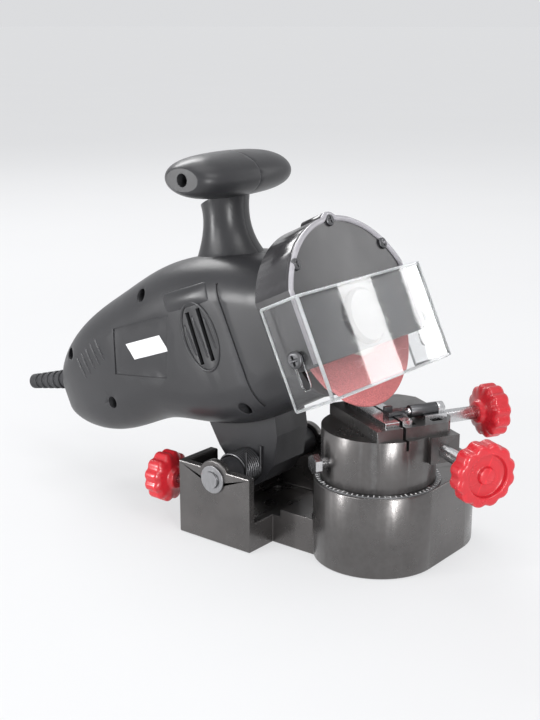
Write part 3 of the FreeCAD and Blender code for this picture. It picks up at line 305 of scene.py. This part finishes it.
def make_materials():
    c = colours()
    steel = tuple(c.steel)
    MATERIALS.update(
        paint=painted("Casting paint", tuple(c.paint), 0.24, 0.34),
        case=plastic("Case plastic", tuple(c.case), 0.28, 0.42, gloss=0.36),
        guard=plastic("Guard plastic", tuple(c.guard), 0.14, 0.24, 2600.0, 0.00003, 0.15, 0.4),
        # the bead is the guard colour made nine times paler: a painted highlight along the cover's rounded
        # rim
        bead=plastic("Guard bead painted highlight", shade(c.guard, 9.0), 0.18, 0.28, 1200.0, 0.00004, 0.3),
        knob=plastic("Red knob plastic", tuple(c.knob), 0.26, 0.4, 1100.0, 0.00008, 0.2),
        inner=plastic("Inner plastic", (0.1, 0.1, 0.11), 0.4, 0.55),
        plate=plastic("Bare plate", (0.62, 0.62, 0.63), 0.3, 0.4, 700.0, 0.00005),
        wheel=grit("Pink abrasive", tuple(c.grit)),
        blotter=plastic("Wheel paper ring", (0.35, 0.33, 0.3), 0.7, 0.85, 600.0, 0.00015),
        visor=clear("Clear visor", (0.98, 0.985, 0.99), 0.006),
        # milky white beads on the visor's edges: a painted highlight of the clear plastic's bright edges
        edge=painted_edge_highlight("Visor edge", (0.9, 0.92, 0.93)),
        steel=metal("Plated steel", steel, 0.16, 0.3),
        thread=metal("Rod steel", steel, 0.2, 0.34, (8.0, 8.0, 8.0), 90.0),
        dark=metal("Blackened steel", (0.12, 0.12, 0.125), 0.3, 0.45),
        dull=metal("Dull zinc", (0.3, 0.3, 0.31), 0.32, 0.46),
        scale=metal("Scale plate", (0.2, 0.2, 0.205), 0.3, 0.42, (12.0, 12.0, 12.0), 60.0),
        bearing=metal("Bearing steel", (0.75, 0.75, 0.76), 0.08, 0.16),
        copper=wound_wire("Winding wire", (0.72, 0.32, 0.14)),
        lamination=sheet_stack("Stacked sheets", (0.32, 0.32, 0.33)),
        brass=metal("Brass", (0.78, 0.58, 0.25), 0.22, 0.35),
        carbon=plastic("Pressed carbon", (0.035, 0.035, 0.04), 0.5, 0.7, 1500.0, 0.00015),
        film=plastic("Capacitor case", (0.72, 0.56, 0.12), 0.25, 0.4),
        ink=plastic("Scale marks", (0.7, 0.7, 0.7), 0.5, 0.6),
        mark=plastic("Switch marks", (0.85, 0.85, 0.85), 0.35, 0.5),
        rubber=rubber("Boot rubber", (0.02, 0.02, 0.022)),
    )


# ---------------------------------------------------------------- making pieces

def dress(node, material, bevel=0.0, angle=32.0):
    """Give a solid its material and, where asked, small rounded edges."""
    item = NODES[node]
    item.data.materials.clear()
    item.data.materials.append(MATERIALS[material])
    if bevel:
        weld = item.modifiers.new("Weld", "WELD")
        weld.merge_threshold = 0.00001
        edge = item.modifiers.new("Edges", "BEVEL")
        edge.width = bevel
        edge.segments = 2
        edge.limit_method = "ANGLE"
        edge.angle_limit = math.radians(angle)
        edge.use_clamp_overlap = True
        edge.harden_normals = True
    return item


def piece(name, mesh, material, body, replaces=(), smooth=True):
    """Put a finished mesh, already in the row's frame, on a body."""
    mesh.materials.append(MATERIALS[material])
    item = bpy.data.objects.new(name, mesh)
    bpy.context.scene.collection.objects.link(item)
    for face in mesh.polygons:
        face.use_smooth = smooth
    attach(item, body)
    if replaces:
        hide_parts(*replaces)
    return item


def mesh_from(name, verts, faces, place=ROW):
    """A mesh from points in millimetres of a local frame."""
    mesh = bpy.data.meshes.new(name)
    mesh.from_pydata([place @ (Vector(v) * MM) for v in verts], [], faces)
    mesh.update()
    return mesh


def joined(name, parts, place=ROW):
    """One mesh from several (points, faces) pairs."""
    verts, faces = [], []
    for points, polygons in parts:
        shift = len(verts)
        verts += points
        faces += [tuple(i + shift for i in polygon) for polygon in polygons]
    return mesh_from(name, verts, faces, place)


def moved(part, matrix):
    """A (points, faces) pair moved by a matrix whose shift is in millimetres."""
    points, polygons = part
    return [tuple(matrix @ Vector(p)) for p in points], polygons


def spun(profile, steps=48, flutes=0, depth=0.0):
    """Points (radius, height, share of flute) spun about Z, closed at both ends."""
    verts, faces = [], []
    for radius, height, *share in profile:
        share = share[0] if share else 0.0
        for i in range(steps):
            angle = 2 * math.pi * i / steps
            wave = 0.5 - 0.5 * math.cos(flutes * angle) if flutes else 0.0
            r = radius - share * depth * (1.0 - wave) ** 1.6
            verts.append((r * math.cos(angle), r * math.sin(angle), height))
    for j in range(len(profile) - 1):
        for i in range(steps):
            k = (i + 1) % steps
            faces.append((j * steps + i, j * steps + k, (j + 1) * steps + k, (j + 1) * steps + i))
    faces.append(tuple(range(steps))[::-1])
    last = (len(profile) - 1) * steps
    faces.append(tuple(range(last, last + steps)))
    return verts, faces


def arc_points(radius, height, bend, start, end, count=5, share=0.0):
    """Points on a rounded corner of a turned profile."""
    spots = []
    for i in range(count + 1):
        angle = math.radians(start + (end - start) * i / count)
        spots.append((radius + bend * math.cos(angle), height + bend * math.sin(angle), share))
    return spots


def block(size, at, edge=0.0):
    """A block of (x, y, z) size about a middle point, with chamfered edges where asked."""
    tool = bmesh.new()
    bmesh.ops.create_cube(tool, size=1.0)
    bmesh.ops.scale(tool, vec=size, verts=tool.verts)
    if edge:
        bmesh.ops.bevel(tool, geom=tool.edges[:], offset=edge, segments=3, profile=0.5, affect="EDGES")
    bmesh.ops.translate(tool, vec=at, verts=tool.verts)
    tool.verts.index_update()
    part = [tuple(v.co) for v in tool.verts], [tuple(v.index for v in f.verts) for f in tool.faces]
    tool.free()
    return part


def tube(path, radius, sides=10, closed=False):
    """A round bead along a path of points in millimetres, with flat caps on the ends of an open path."""
    spots = [Vector(p) for p in path]
    count = len(spots)
    verts, faces = [], []
    normal = None
    for i, spot in enumerate(spots):
        ahead = spots[(i + 1) % count] if closed or i < count - 1 else spot
        behind = spots[i - 1] if closed or i else spot
        run = (ahead - behind).normalized()
        if normal is None:
            normal = run.orthogonal().normalized()
        normal = (normal - run * normal.dot(run)).normalized()
        other = run.cross(normal)
        for k in range(sides):
            angle = 2 * math.pi * k / sides
            verts.append(tuple(spot + (normal * math.cos(angle) + other * math.sin(angle)) * radius))
    for i in range(count if closed else count - 1):
        j = (i + 1) % count
        for k in range(sides):
            m = (k + 1) % sides
            faces.append((i * sides + k, i * sides + m, j * sides + m, j * sides + k))
    if not closed:
        faces.append(tuple(range(sides))[::-1])
        faces.append(tuple(range((count - 1) * sides, count * sides)))
    return verts, faces


def rounded_path(corners, bend, steps=5, closed=True):
    """A path round corners, each turned on a curve that starts bend before it."""
    path = []
    count = len(corners)
    for i, corner in enumerate(corners):
        here = Vector(corner)
        if not closed and i in (0, count - 1):
            path.append(here)
            continue
        before = here + (Vector(corners[i - 1]) - here).normalized() * bend
        after = here + (Vector(corners[(i + 1) % count]) - here).normalized() * bend
        for k in range(steps + 1):
            t = k / steps
            path.append(before * (1 - t) ** 2 + here * 2 * t * (1 - t) + after * t ** 2)
    return path


def pan_head(radius, height):
    """A screw head with a cross recess: the head is spun, the cross is a sunk star on its crown."""
    profile = [(radius * 0.96, 0.0), (radius, height * 0.12), (radius, height * 0.4)]
    profile += arc_points(radius * 0.62, height * 0.4, radius * 0.38, 0, 80, 5)
    edge = height * 0.4
    crown = height * 0.6 / (radius * 0.38)
    profile = [(r, h if h <= edge else edge + (h - edge) * crown)
               for r, h, *_ in profile]
    head = spun(profile, 32)
    arm, width, sink = radius * 0.62, radius * 0.17, height * 0.55
    star = []
    for i in range(4):
        turn = math.pi / 2 * i
        for x, y in ((width, -width), (arm, -width), (arm, width)):
            star.append((x * math.cos(turn) - y * math.sin(turn), x * math.sin(turn) + y * math.cos(turn)))
    return head, star, height, sink


def screw_head(radius, height):
    """Cross-head screw as a (points, faces) pair, its seat at height zero."""
    (verts, faces), star, top, sink = pan_head(radius, height)
    faces = faces[:-1]
    steps = 32
    ring = [len(verts) - steps + i for i in range(steps)]
    base = len(verts)
    verts += [(x, y, top) for x, y in star] + [(x * 0.55, y * 0.55, top - sink) for x, y in star]
    count = len(star)
    for i in range(count):
        j = (i + 1) % count
        faces.append((base + i, base + j, base + count + j, base + count + i)[::-1])
    faces.append(tuple(base + count + i for i in range(count)))
    angles = [math.atan2(y, x) % (2 * math.pi) for x, y in star]
    order = sorted(range(count), key=lambda i: angles[i])
    for a in range(count):
        first, second = order[a], order[(a + 1) % count]
        low, high = angles[first], angles[second]
        if high <= low:
            high += 2 * math.pi
        fan = [ring[int(round(low / (2 * math.pi) * steps)) % steps]]
        step = int(round(low / (2 * math.pi) * steps))
        stop = int(round(high / (2 * math.pi) * steps))
        while step < stop:
            step += 1
            fan.append(ring[step % steps])
        if len(fan) > 1:
            faces.append((base + first, *fan, base + second))
        else:
            faces.append((base + first, fan[0], base + second))
    return verts, faces


def finished(mesh):
    """Tidy a mesh's normals."""
    tool = bmesh.new()
    tool.from_mesh(mesh)
    bmesh.ops.remove_doubles(tool, verts=tool.verts, dist=0.000002)
    bmesh.ops.recalc_face_normals(tool, faces=tool.faces)
    tool.to_mesh(mesh)
    tool.free()
    return mesh


def skin_tree(*nodes):
    """The solids' surface, to lay thin pieces on."""
    verts, polygons = [], []
    for node in nodes:
        shift = len(verts)
        data = NODES[node].data
        verts += [v.co.copy() for v in data.vertices]
        polygons += [tuple(i + shift for i in face.vertices) for face in data.polygons]
    return BVHTree.FromPolygons(verts, polygons)


def on_skin(tree, side, back, up, lift):
    """The point of the case's side at a place of the head's frame, lifted off it."""
    start = HEAD @ (Vector((side * 90.0, back, up)) * MM)
    spot, normal, _, _ = tree.ray_cast(start, Vector((-side, 0, 0)))
    if spot is None:
        raise RuntimeError(f"no skin at {side, back, up}")
    if normal.x * side < 0:
        normal = -normal
    return spot + normal * lift * MM


def laid_patch(tree, side, rows, lift, sink=0.4):
    """A thin closed sheet laid on the case: rows of (back, up) places, lift(u, v) in millimetres."""
    top, low = [], []
    for v, row in enumerate(rows):
        for u, (back, up) in enumerate(row):
            share = (u / (len(row) - 1), v / (len(rows) - 1))
            top.append(on_skin(tree, side, back, up, lift(*share)))
            low.append(on_skin(tree, side, back, up, -sink))
    wide, high = len(rows[0]), len(rows)
    faces = []
    shift = len(top)
    for v in range(high - 1):
        for u in range(wide - 1):
            quad = (v * wide + u, v * wide + u + 1, (v + 1) * wide + u + 1, (v + 1) * wide + u)
            faces.append(quad)
            faces.append(tuple(i + shift for i in quad)[::-1])
    rim = [u for u in range(wide)] + [v * wide + wide - 1 for v in range(1, high)]
    rim += [(high - 1) * wide + u for u in range(wide - 2, -1, -1)]
    rim += [v * wide for v in range(high - 2, 0, -1)]
    for i, first in enumerate(rim):
        second = rim[(i + 1) % len(rim)]
        faces.append((first, first + shift, second + shift, second))
    return [tuple(p / MM) for p in top + low], faces


# ---------------------------------------------------------------- operators

class SHARPENER_OT_materials(bpy.types.Operator):
    """Make every finish of the sharpener"""
    bl_idname = "sharpener.materials"
    bl_label = "Finishes"

    def execute(self, context):
        make_materials()
        return {"FINISHED"}


class SHARPENER_OT_base(bpy.types.Operator):
    """Paint the base casting and finish its pivot, depth stop and angle scale"""
    bl_idname = "sharpener.base"
    bl_label = "Base"

    def execute(self, context):
        edge = sizes().edge_round
        dress("base_casting", "paint", edge)
        dress("pivot_pin", "dull", 0.0006)
        dress("pin_clips", "dull", 0.0003)
        dress("depth_lock_nut", "steel", 0.0004)
        dress("depth_rod", "thread", 0.0004)
        dress("angle_scale", "scale")
        dress("return_spring", "dark")
        width = sizes().tick_width / MM
        ticks = []
        for degree in range(0, 360, 5):
            long = 2.4 if degree % 30 == 0 else 1.5
            bar = block((long, width, 0.3), (36.0 - long / 2, 0.0, 48.85), 0.05)
            ticks.append(moved(bar, Matrix.Rotation(math.radians(degree), 4, "Z")))
        place = Matrix.Translation((0, -0.084, 0))
        piece("scale_ticks", joined("scale_ticks", ticks, place), "ink", "base", smooth=False)
        return {"FINISHED"}


class SHARPENER_OT_vise(bpy.types.Operator):
    """Paint the turret and finish the jaws, rods, chain stop and lock screw"""
    bl_idname = "sharpener.vise"
    bl_label = "Chain vise"

    def execute(self, context):
        dress("vise_turret", "paint", sizes().edge_round)
        for node in ("fixed_jaw", "clamp_jaw", "stop_carriage"):
            dress(node, "steel", 0.0005)
        for node in ("swivel_bolt", "swivel_washer", "swivel_lock_screw", "pawl_pin"):
            dress(node, "steel", 0.0003)
        dress("chain_stop_pawl", "dark", 0.0004)
        return {"FINISHED"}


def knob_part(radius, thickness):
    """A fluted knob as (points, faces): neck, flared skirt, fluted rim and a recess with a hub."""
    s = sizes()
    t, r = thickness, radius
    recess = s.knob_recess / MM
    profile = [(r * 0.34, 0.0), (r * 0.40, 0.3), (r * 0.42, t * 0.14), (r * 0.5, t * 0.2),
               (r * 0.72, t * 0.24, 0.2), (r * 0.9, t * 0.3, 0.8)]
    profile += arc_points(r - 1.8, t * 0.3 + 2.2, 1.8, -60, 0, 4, 1.0)
    profile += arc_points(r - 2.6, t - 2.8, 2.6, 0, 80, 7, 1.0)
    profile += [(r - 4.2, t, 0.5), (r - 5.4, t, 0.0), (r - 5.9, t - 0.3), (r - 6.2, t - 1.0),
                (r - 6.4, t - recess + 0.4), (r - 6.9, t - recess), (r * 0.3, t - recess),
                (r * 0.27, t - recess + 0.3), (r * 0.26, t - 1.0), (r * 0.23, t - 0.6), (0.4, t - 0.5)]
    return spun(profile, 120, s.knob_flutes, s.flute_depth / MM)


class SHARPENER_OT_knobs(bpy.types.Operator):
    """Make the three fluted red knobs"""
    bl_idname = "sharpener.knobs"
    bl_label = "Knobs"

    def execute(self, context):
        for name, node, body, radius, place, at, along in (
                ("clamp_knob_fluted", "clamp_knob", "clamp_grip", 16.0, VISE, (64.0, 0.0, 78.0), "x"),
                ("stop_knob_fluted", "stop_knob", "stop_grip", 18.0, VISE, (24.0, -60.0, 70.0), "-y"),
                ("depth_knob_fluted", "depth_knob", "depth_grip", 16.0, ROW, (-36.0, 38.5, 27.5), "y")):
            seat = place @ Matrix.Translation(Vector(at) * MM) @ ALONG[along]
            mesh = finished(joined(name, [knob_part(radius, 16.0)], seat))
            piece(name, mesh, "knob", body, (node,))
        return {"FINISHED"}


class SHARPENER_OT_case(bpy.types.Operator):
    """Finish the motor case and lay its bulge, ribs and bare plate on it"""
    bl_idname = "sharpener.case"
    bl_label = "Motor case"

    def execute(self, context):
        for node in ("left_shell", "right_shell", "pivot_leg", "pivot_sleeve", "stop_ear"):
            dress(node, "case", sizes().moulded_round)
        tree = skin_tree("left_shell", "right_shell")
        for side, word in ((-1, "left"), (1, "right")):
            rows = []
            for v in range(13):
                rows.append([(62 + 36 * u / 20, 38 + 12 * v / 12 + 3 * u / 20) for u in range(21)])

            def dome(u, v):
                return 1.5 * (math.sin(math.pi * u) * math.sin(math.pi * v)) ** 0.6 - 0.1

            mesh = finished(joined(f"{word}_bulge", [laid_patch(tree, side, rows, dome)]))
            piece(f"{word}_bulge", mesh, "case", "head")
            ribs = []
            for i in range(5):
                start = 168 + i * 6.5
                rows = [[(start + 2.4 * u / 4 + 3 * v / 12, 30 + 16 * v / 12 - i * 1.6) for u in range(5)]
                        for v in range(13)]

                def ridge(u, v):
                    return 0.9 * math.sin(math.pi * u) ** 0.7 * math.sin(math.pi * v) ** 0.35 - 0.1

                ribs.append(laid_patch(tree, side, rows, ridge))
            mesh = finished(joined(f"{word}_ribs", ribs))
            piece(f"{word}_ribs", mesh, "case", "head")
            rim = [on_skin(tree, side, 78.5 + 12.5 * math.cos(a), 21 + 21 * math.sin(a), 0.1) / MM
                   for a in (2 * math.pi * i / 56 for i in range(56))]
            fins = [tube(rim, 0.9, 10, True)]
            for back in (70.3, 78.5, 86.7):
                reach = 13.5 if back == 78.5 else 10.0
                rows = [[(back - 1.1 + 2.2 * u / 4 + 0.052 * reach * (2 * v / 14 - 1),
                          21 + reach * (2 * v / 14 - 1))
                         for u in range(5)] for v in range(15)]
                fins.append(laid_patch(tree, side, rows, lambda u, v: 1.3 * math.sin(math.pi * u) ** 0.7
                                       * math.sin(math.pi * v) ** 0.3 - 0.1))
            mesh = finished(joined(f"{word}_louvre", fins))
            piece(f"{word}_louvre", mesh, "case", "head")
        rows = [[(108 + 32 * u / 12 + 3.5 * v / 6, 20 + 3 * u / 12 + 11 * v / 6) for u in range(13)]
                for v in range(7)]
        mesh = finished(joined("bare_plate", [laid_patch(tree, -1, rows, lambda u, v: 0.35, 0.2)]))
        piece("bare_plate", mesh, "plate", "head", smooth=False)
        return {"FINISHED"}


def arch_path(inset, front, low=-18.0, lug=2.4):
    """The guard's outline, set in, on a plane across the motor axis."""
    radius, half = 60.0 - inset, 54.5 - inset
    limit = math.asin(half / radius)
    path = [(-half, front, low + inset)]
    count = 96
    for i in range(count + 1):
        angle = -limit + 2 * limit * i / count
        reach = radius + lug * math.exp(-(angle / 0.075) ** 4)
        path.append((reach * math.sin(angle), front, reach * math.cos(angle)))
    path.append((half, front, low + inset))
    return path


class SHARPENER_OT_guard(bpy.types.Operator):
    """Finish the wheel guard and run a bead round its cover, made pale as a painted highlight of the cover's
    rounded rim
    """
    bl_idname = "sharpener.guard"
    bl_label = "Wheel guard"

    def execute(self, context):
        dress("wheel_guard", "guard", sizes().moulded_round)
        dress("guard_cover", "guard", 0.0005)
        radius = sizes().cover_bead / MM
        bead = tube(arch_path(radius, -9.0), radius)
        mesh = finished(joined("cover_bead", [bead], HEAD))
        # the pale bead material is painted light: it stands for the highlight on the cover's rim
        piece("cover_bead", mesh, "bead", "head")
        return {"FINISHED"}


class SHARPENER_OT_visor(bpy.types.Operator):
    """Make the visor clear, with frosted beads along its edges"""
    bl_idname = "sharpener.visor"
    bl_label = "Visor"

    # Make the visor clear, with milky white beads along its edges as a painted highlight
    def execute(self, context):
        dress("visor", "visor", 0.0004, 50.0)
        radius = sizes().visor_edge / MM
        half, front, back, low, top = 59.0, -16.5, 9.6, -37.4, 20.4
        beads = []
        for height in (low, top):
            corners = [(-half, back, height), (-half, front, height),
                       (half, front, height), (half, back, height)]
            beads.append(tube(rounded_path(corners, 2.0, 5, False), radius))
        for x in (-half, half):
            for y in (front, back):
                beads.append(tube([(x, y, low), (x, y, top)], radius))
        mesh = finished(joined("visor_edges", beads, HEAD))
        piece("visor_edges", mesh, "edge", "visor")
        return {"FINISHED"}


class SHARPENER_OT_wheel(bpy.types.Operator):
    """Finish the grinding wheel with its paper rings, flanges and nut"""
    bl_idname = "sharpener.wheel"
    bl_label = "Grinding wheel"

    def execute(self, context):
        dress("grinding_wheel", "wheel", 0.0003)
        for node in ("outer_flange", "inner_flange", "arbor_nut", "motor_shaft"):
            dress(node, "steel", 0.0003)
        rings = []
        for side in (-1, 1):
            ring = spun([(21.0, 0.0), (21.0, 0.25), (14.6, 0.25), (14.6, 0.0)], 64)
            ends = [(3 * 64 + i, 3 * 64 + (i + 1) % 64, (i + 1) % 64, i) for i in range(64)]
            ring = ring[0], ring[1][:-2] + ends
            place = Matrix.Translation((0, side * 1.6, 0)) @ ALONG["y" if side > 0 else "-y"]
            rings.append(moved(ring, place))
        mesh = finished(joined("wheel_paper_rings", rings, HEAD))
        piece("wheel_paper_rings", mesh, "blotter", "rotor")
        return {"FINISHED"}


class SHARPENER_OT_motor(bpy.types.Operator):
    """Finish the motor's inner pieces"""
    bl_idname = "sharpener.motor"
    bl_label = "Motor"

    def execute(self, context):
        for node, material in (
                ("front_plate", "paint"), ("front_bearing", "bearing"), ("rear_bearing", "bearing"),
                ("stator_core", "lamination"), ("armature_core", "lamination"), ("field_coils", "copper"),
                ("armature_windings", "copper"), ("commutator", "brass"), ("carbon_brushes", "carbon"),
                ("brush_holders", "brass"), ("cooling_fan", "inner"), ("suppressor_capacitor", "film"),
                ("cord_clamp", "inner")):
            dress(node, material)
        return {"FINISHED"}


class SHARPENER_OT_screws(bpy.types.Operator):
    """Give every screw a cross-head"""
    bl_idname = "sharpener.screws"
    bl_label = "Screws"

    def execute(self, context):
        groups = {
            "case_screws": (3.6, 1.8, [((x, s, h), "-x") for x, s, h in
                                       ((-20.0, 68, -27.5), (-8.0, 176, 3), (-8.0, 118, 58), (-8.0, 206, 43),
                                        (-8.0, 48.2, 107.1))]),
            "cover_screws": (3.6, 1.8, [((x, -9.0, h), "-y") for x, h in
                                        ((0.0, 57.5), (-41.91, 37.74), (41.91, 37.74))]),
            "visor_screws": (5.0, 2.6, [((-60.3, -3.0, -11.0), "-x"), ((60.3, -3.0, -11.0), "x")]),
        }
        for node, (radius, height, places) in groups.items():
            heads = [moved(screw_head(radius, height), Matrix.Translation(at) @ ALONG[along])
                     for at, along in places]
            shanks = []
            for (at, along), deep in zip(places, [3.0] * len(places)):
                shank = spun([(1.7, -deep), (1.8, -deep + 0.2), (1.8, 0.05)], 24)
                shanks.append(moved(shank, Matrix.Translation(at) @ ALONG[along]))
            mesh = finished(joined(f"{node}_cross", heads + shanks, HEAD))
            piece(f"{node}_cross", mesh, "dark", "head", (node,), smooth=False)
        return {"FINISHED"}


class SHARPENER_OT_switch(bpy.types.Operator):
    """Finish the rocker switch and the cord boot"""
    bl_idname = "sharpener.switch"
    bl_label = "Switch and boot"

    def execute(self, context):
        dress("switch_body", "inner", 0.0004)
        dress("rocker", "knob", 0.0005)
        dress("cord_boot", "rubber", 0.0003)
        face = 40.5
        bar = block((0.3, 0.8, 4.0), (face + 0.1, 165 - 6.0, 24.0), 0.1)
        ring = tube([(face + 0.1, 165 + 6.0 + 2.0 * math.cos(a), 24 + 2.0 * math.sin(a))
                     for a in (2 * math.pi * i / 24 for i in range(24))], 0.3, 6, True)
        mesh = finished(joined("switch_marks", [bar, ring], HEAD))
        piece("switch_marks", mesh, "mark", "rocker")
        return {"FINISHED"}


# the floor's half side and height in metres, and the share of its tone that no lamp changes
FLOOR_REACH = 90
FLOOR_LEVEL = -0.0004
FLOOR_GLOW = 0.7
# the camera's angle below the level and its turn about the upright, in degrees
CAMERA_DIP = 15.5
CAMERA_TURN = -51.5


def seen_rays(tree):
    """A factor that is 1 for rays from the camera, from a gloss and through clear plastic"""
    rays = tree.nodes.new("ShaderNodeLightPath")
    total = rays.outputs["Is Camera Ray"]
    for kind in ("Is Glossy Ray", "Is Transmission Ray"):
        step = tree.nodes.new("ShaderNodeMath")
        step.operation = "MAXIMUM"
        tree.links.new(total, step.inputs[0])
        tree.links.new(rays.outputs[kind], step.inputs[1])
        total = step.outputs[0]
    return total


class SHARPENER_OT_stage(bpy.types.Operator):
    """Set the floor, the lamps and the camera"""
    bl_idname = "sharpener.stage"
    bl_label = "Stage"

    def execute(self, context):
        scene = context.scene
        scene.view_settings.view_transform = "Standard"
        mesh = bpy.data.meshes.new("floor")
        corners = [(x * FLOOR_REACH, y * FLOOR_REACH, FLOOR_LEVEL)
                   for x, y in ((-1, -1), (1, -1), (1, 1), (-1, 1))]
        mesh.from_pydata(corners, [], [(0, 1, 2, 3)])
        floor = bpy.data.objects.new("floor", mesh)
        scene.collection.objects.link(floor)
        g = Graph("Pale floor")
        tone = g.blend(g.spread(g.noise(3.0), 0.0, 1.0), (0.79, 0.79, 0.795), (0.82, 0.82, 0.825))
        mesh.materials.append(g.wire(Base_Color=tone, Roughness=0.7, Specular_IOR_Level=0.2))
        glow = g.node("ShaderNodeEmission")
        glow.inputs["Color"].default_value = (0.86, 0.865, 0.875, 1.0)
        mixed = g.node("ShaderNodeMixShader")
        share = g.node("ShaderNodeMath", operation="MULTIPLY")
        share.inputs[1].default_value = FLOOR_GLOW
        g.link(seen_rays(g.tree), share.inputs[0])
        g.link(share.outputs[0], mixed.inputs[0])
        g.link(g.shader.outputs[0], mixed.inputs[1])
        g.link(glow.outputs[0], mixed.inputs[2])
        output = next(n for n in g.tree.nodes if n.type == "OUTPUT_MATERIAL")
        g.link(mixed.outputs[0], output.inputs["Surface"])

        world = bpy.data.worlds.new("Studio")
        world.use_nodes = True
        scene.world = world
        tree = world.node_tree
        light = tree.nodes["Background"]
        light.inputs["Color"].default_value = (0.93, 0.95, 1.0, 1.0)
        light.inputs["Strength"].default_value = 0.5
        backdrop = tree.nodes.new("ShaderNodeBackground")
        backdrop.inputs["Color"].default_value = (0.714, 0.72, 0.734, 1.0)
        mixed = tree.nodes.new("ShaderNodeMixShader")
        tree.links.new(seen_rays(tree), mixed.inputs[0])
        tree.links.new(light.outputs[0], mixed.inputs[1])
        tree.links.new(backdrop.outputs[0], mixed.inputs[2])
        tree.links.new(mixed.outputs[0], tree.nodes["World Output"].inputs["Surface"])

        middle = Vector((0.0, -0.04, 0.1))
        upright = Vector((0.0, 0.0, 1.0))
        slope = HEAD.to_3x3() @ upright
        for name, spot, size, power, along in (
                ("key", (-0.35, -1.3, 1.5), (0.8, 0.8), 12.0, upright),
                ("side box", (-1.5, 0.5, 0.75), (0.9, 0.6), 10.0, upright),
                ("rim", (0.6, 1.3, 1.3), (1.1, 0.4), 16.0, upright),
                ("wide strip", (0.961, -0.719, 0.444), (0.052, 1.0), 0.95, slope),
                ("thin strip", (1.048, -0.678, 0.425), (0.028, 1.0), 0.5, slope),
                ("front strip", (-0.69, -1.1, 0.2), (0.09, 0.4), 9.0, upright),
                ("left strip", (-0.91, 0.62, 0.2), (0.06, 0.4), 6.0, upright),
                ("top", (0.0, 0.1, 1.8), (1.2, 1.2), 8.0, upright)):
            lamp = bpy.data.lights.new(name, "AREA")
            lamp.shape = "RECTANGLE"
            lamp.size, lamp.size_y = size
            lamp.energy = power
            item = bpy.data.objects.new(name, lamp)
            away = (Vector(spot) - middle).normalized()
            long = (along - away * along.dot(away)).normalized()
            turn = Matrix((long.cross(away), long, away)).transposed().to_4x4()
            item.matrix_world = Matrix.Translation(spot) @ turn
            item.visible_camera = False
            scene.collection.objects.link(item)

        camera = bpy.data.cameras.new("camera")
        camera.sensor_fit = "HORIZONTAL"
        camera.sensor_width = 36.0
        camera.lens = 81.0
        item = bpy.data.objects.new("camera", camera)
        item.location = (-0.5526, -0.4442, 0.2991)
        item.rotation_euler = (math.radians(90 - CAMERA_DIP), 0.0, math.radians(CAMERA_TURN))
        scene.collection.objects.link(item)
        scene.camera = item
        return {"FINISHED"}


class SHARPENER_PT_panel(bpy.types.Panel):
    """Lists every step of the sharpener"""
    bl_label = "Sharpener"
    bl_space_type = "VIEW_3D"
    bl_region_type = "UI"
    bl_category = "Sharpener"

    def draw(self, context):
        for step in STEPS:
            self.layout.operator(step.bl_idname)
        for group in (context.scene.sharpener_sizes, context.scene.sharpener_colours):
            for key in group.__annotations__:
                self.layout.prop(group, key)


STEPS = (SHARPENER_OT_stage, SHARPENER_OT_materials, SHARPENER_OT_base, SHARPENER_OT_vise, SHARPENER_OT_knobs,
         SHARPENER_OT_case, SHARPENER_OT_guard, SHARPENER_OT_visor, SHARPENER_OT_wheel, SHARPENER_OT_motor,
         SHARPENER_OT_screws, SHARPENER_OT_switch)
CLASSES = (SharpenerSizes, SharpenerColours) + STEPS + (SHARPENER_PT_panel,)


def register():
    for item in CLASSES:
        bpy.utils.register_class(item)
    bpy.types.Scene.sharpener_sizes = PointerProperty(type=SharpenerSizes)
    bpy.types.Scene.sharpener_colours = PointerProperty(type=SharpenerColours)


def unregister():
    del bpy.types.Scene.sharpener_colours
    del bpy.types.Scene.sharpener_sizes
    for item in reversed(CLASSES):
        bpy.utils.unregister_class(item)


def main():
    register()
    for step in STEPS:
        area, name = step.bl_idname.split(".")
        getattr(getattr(bpy.ops, area), name)()


if __name__ == "__main__":
    main()
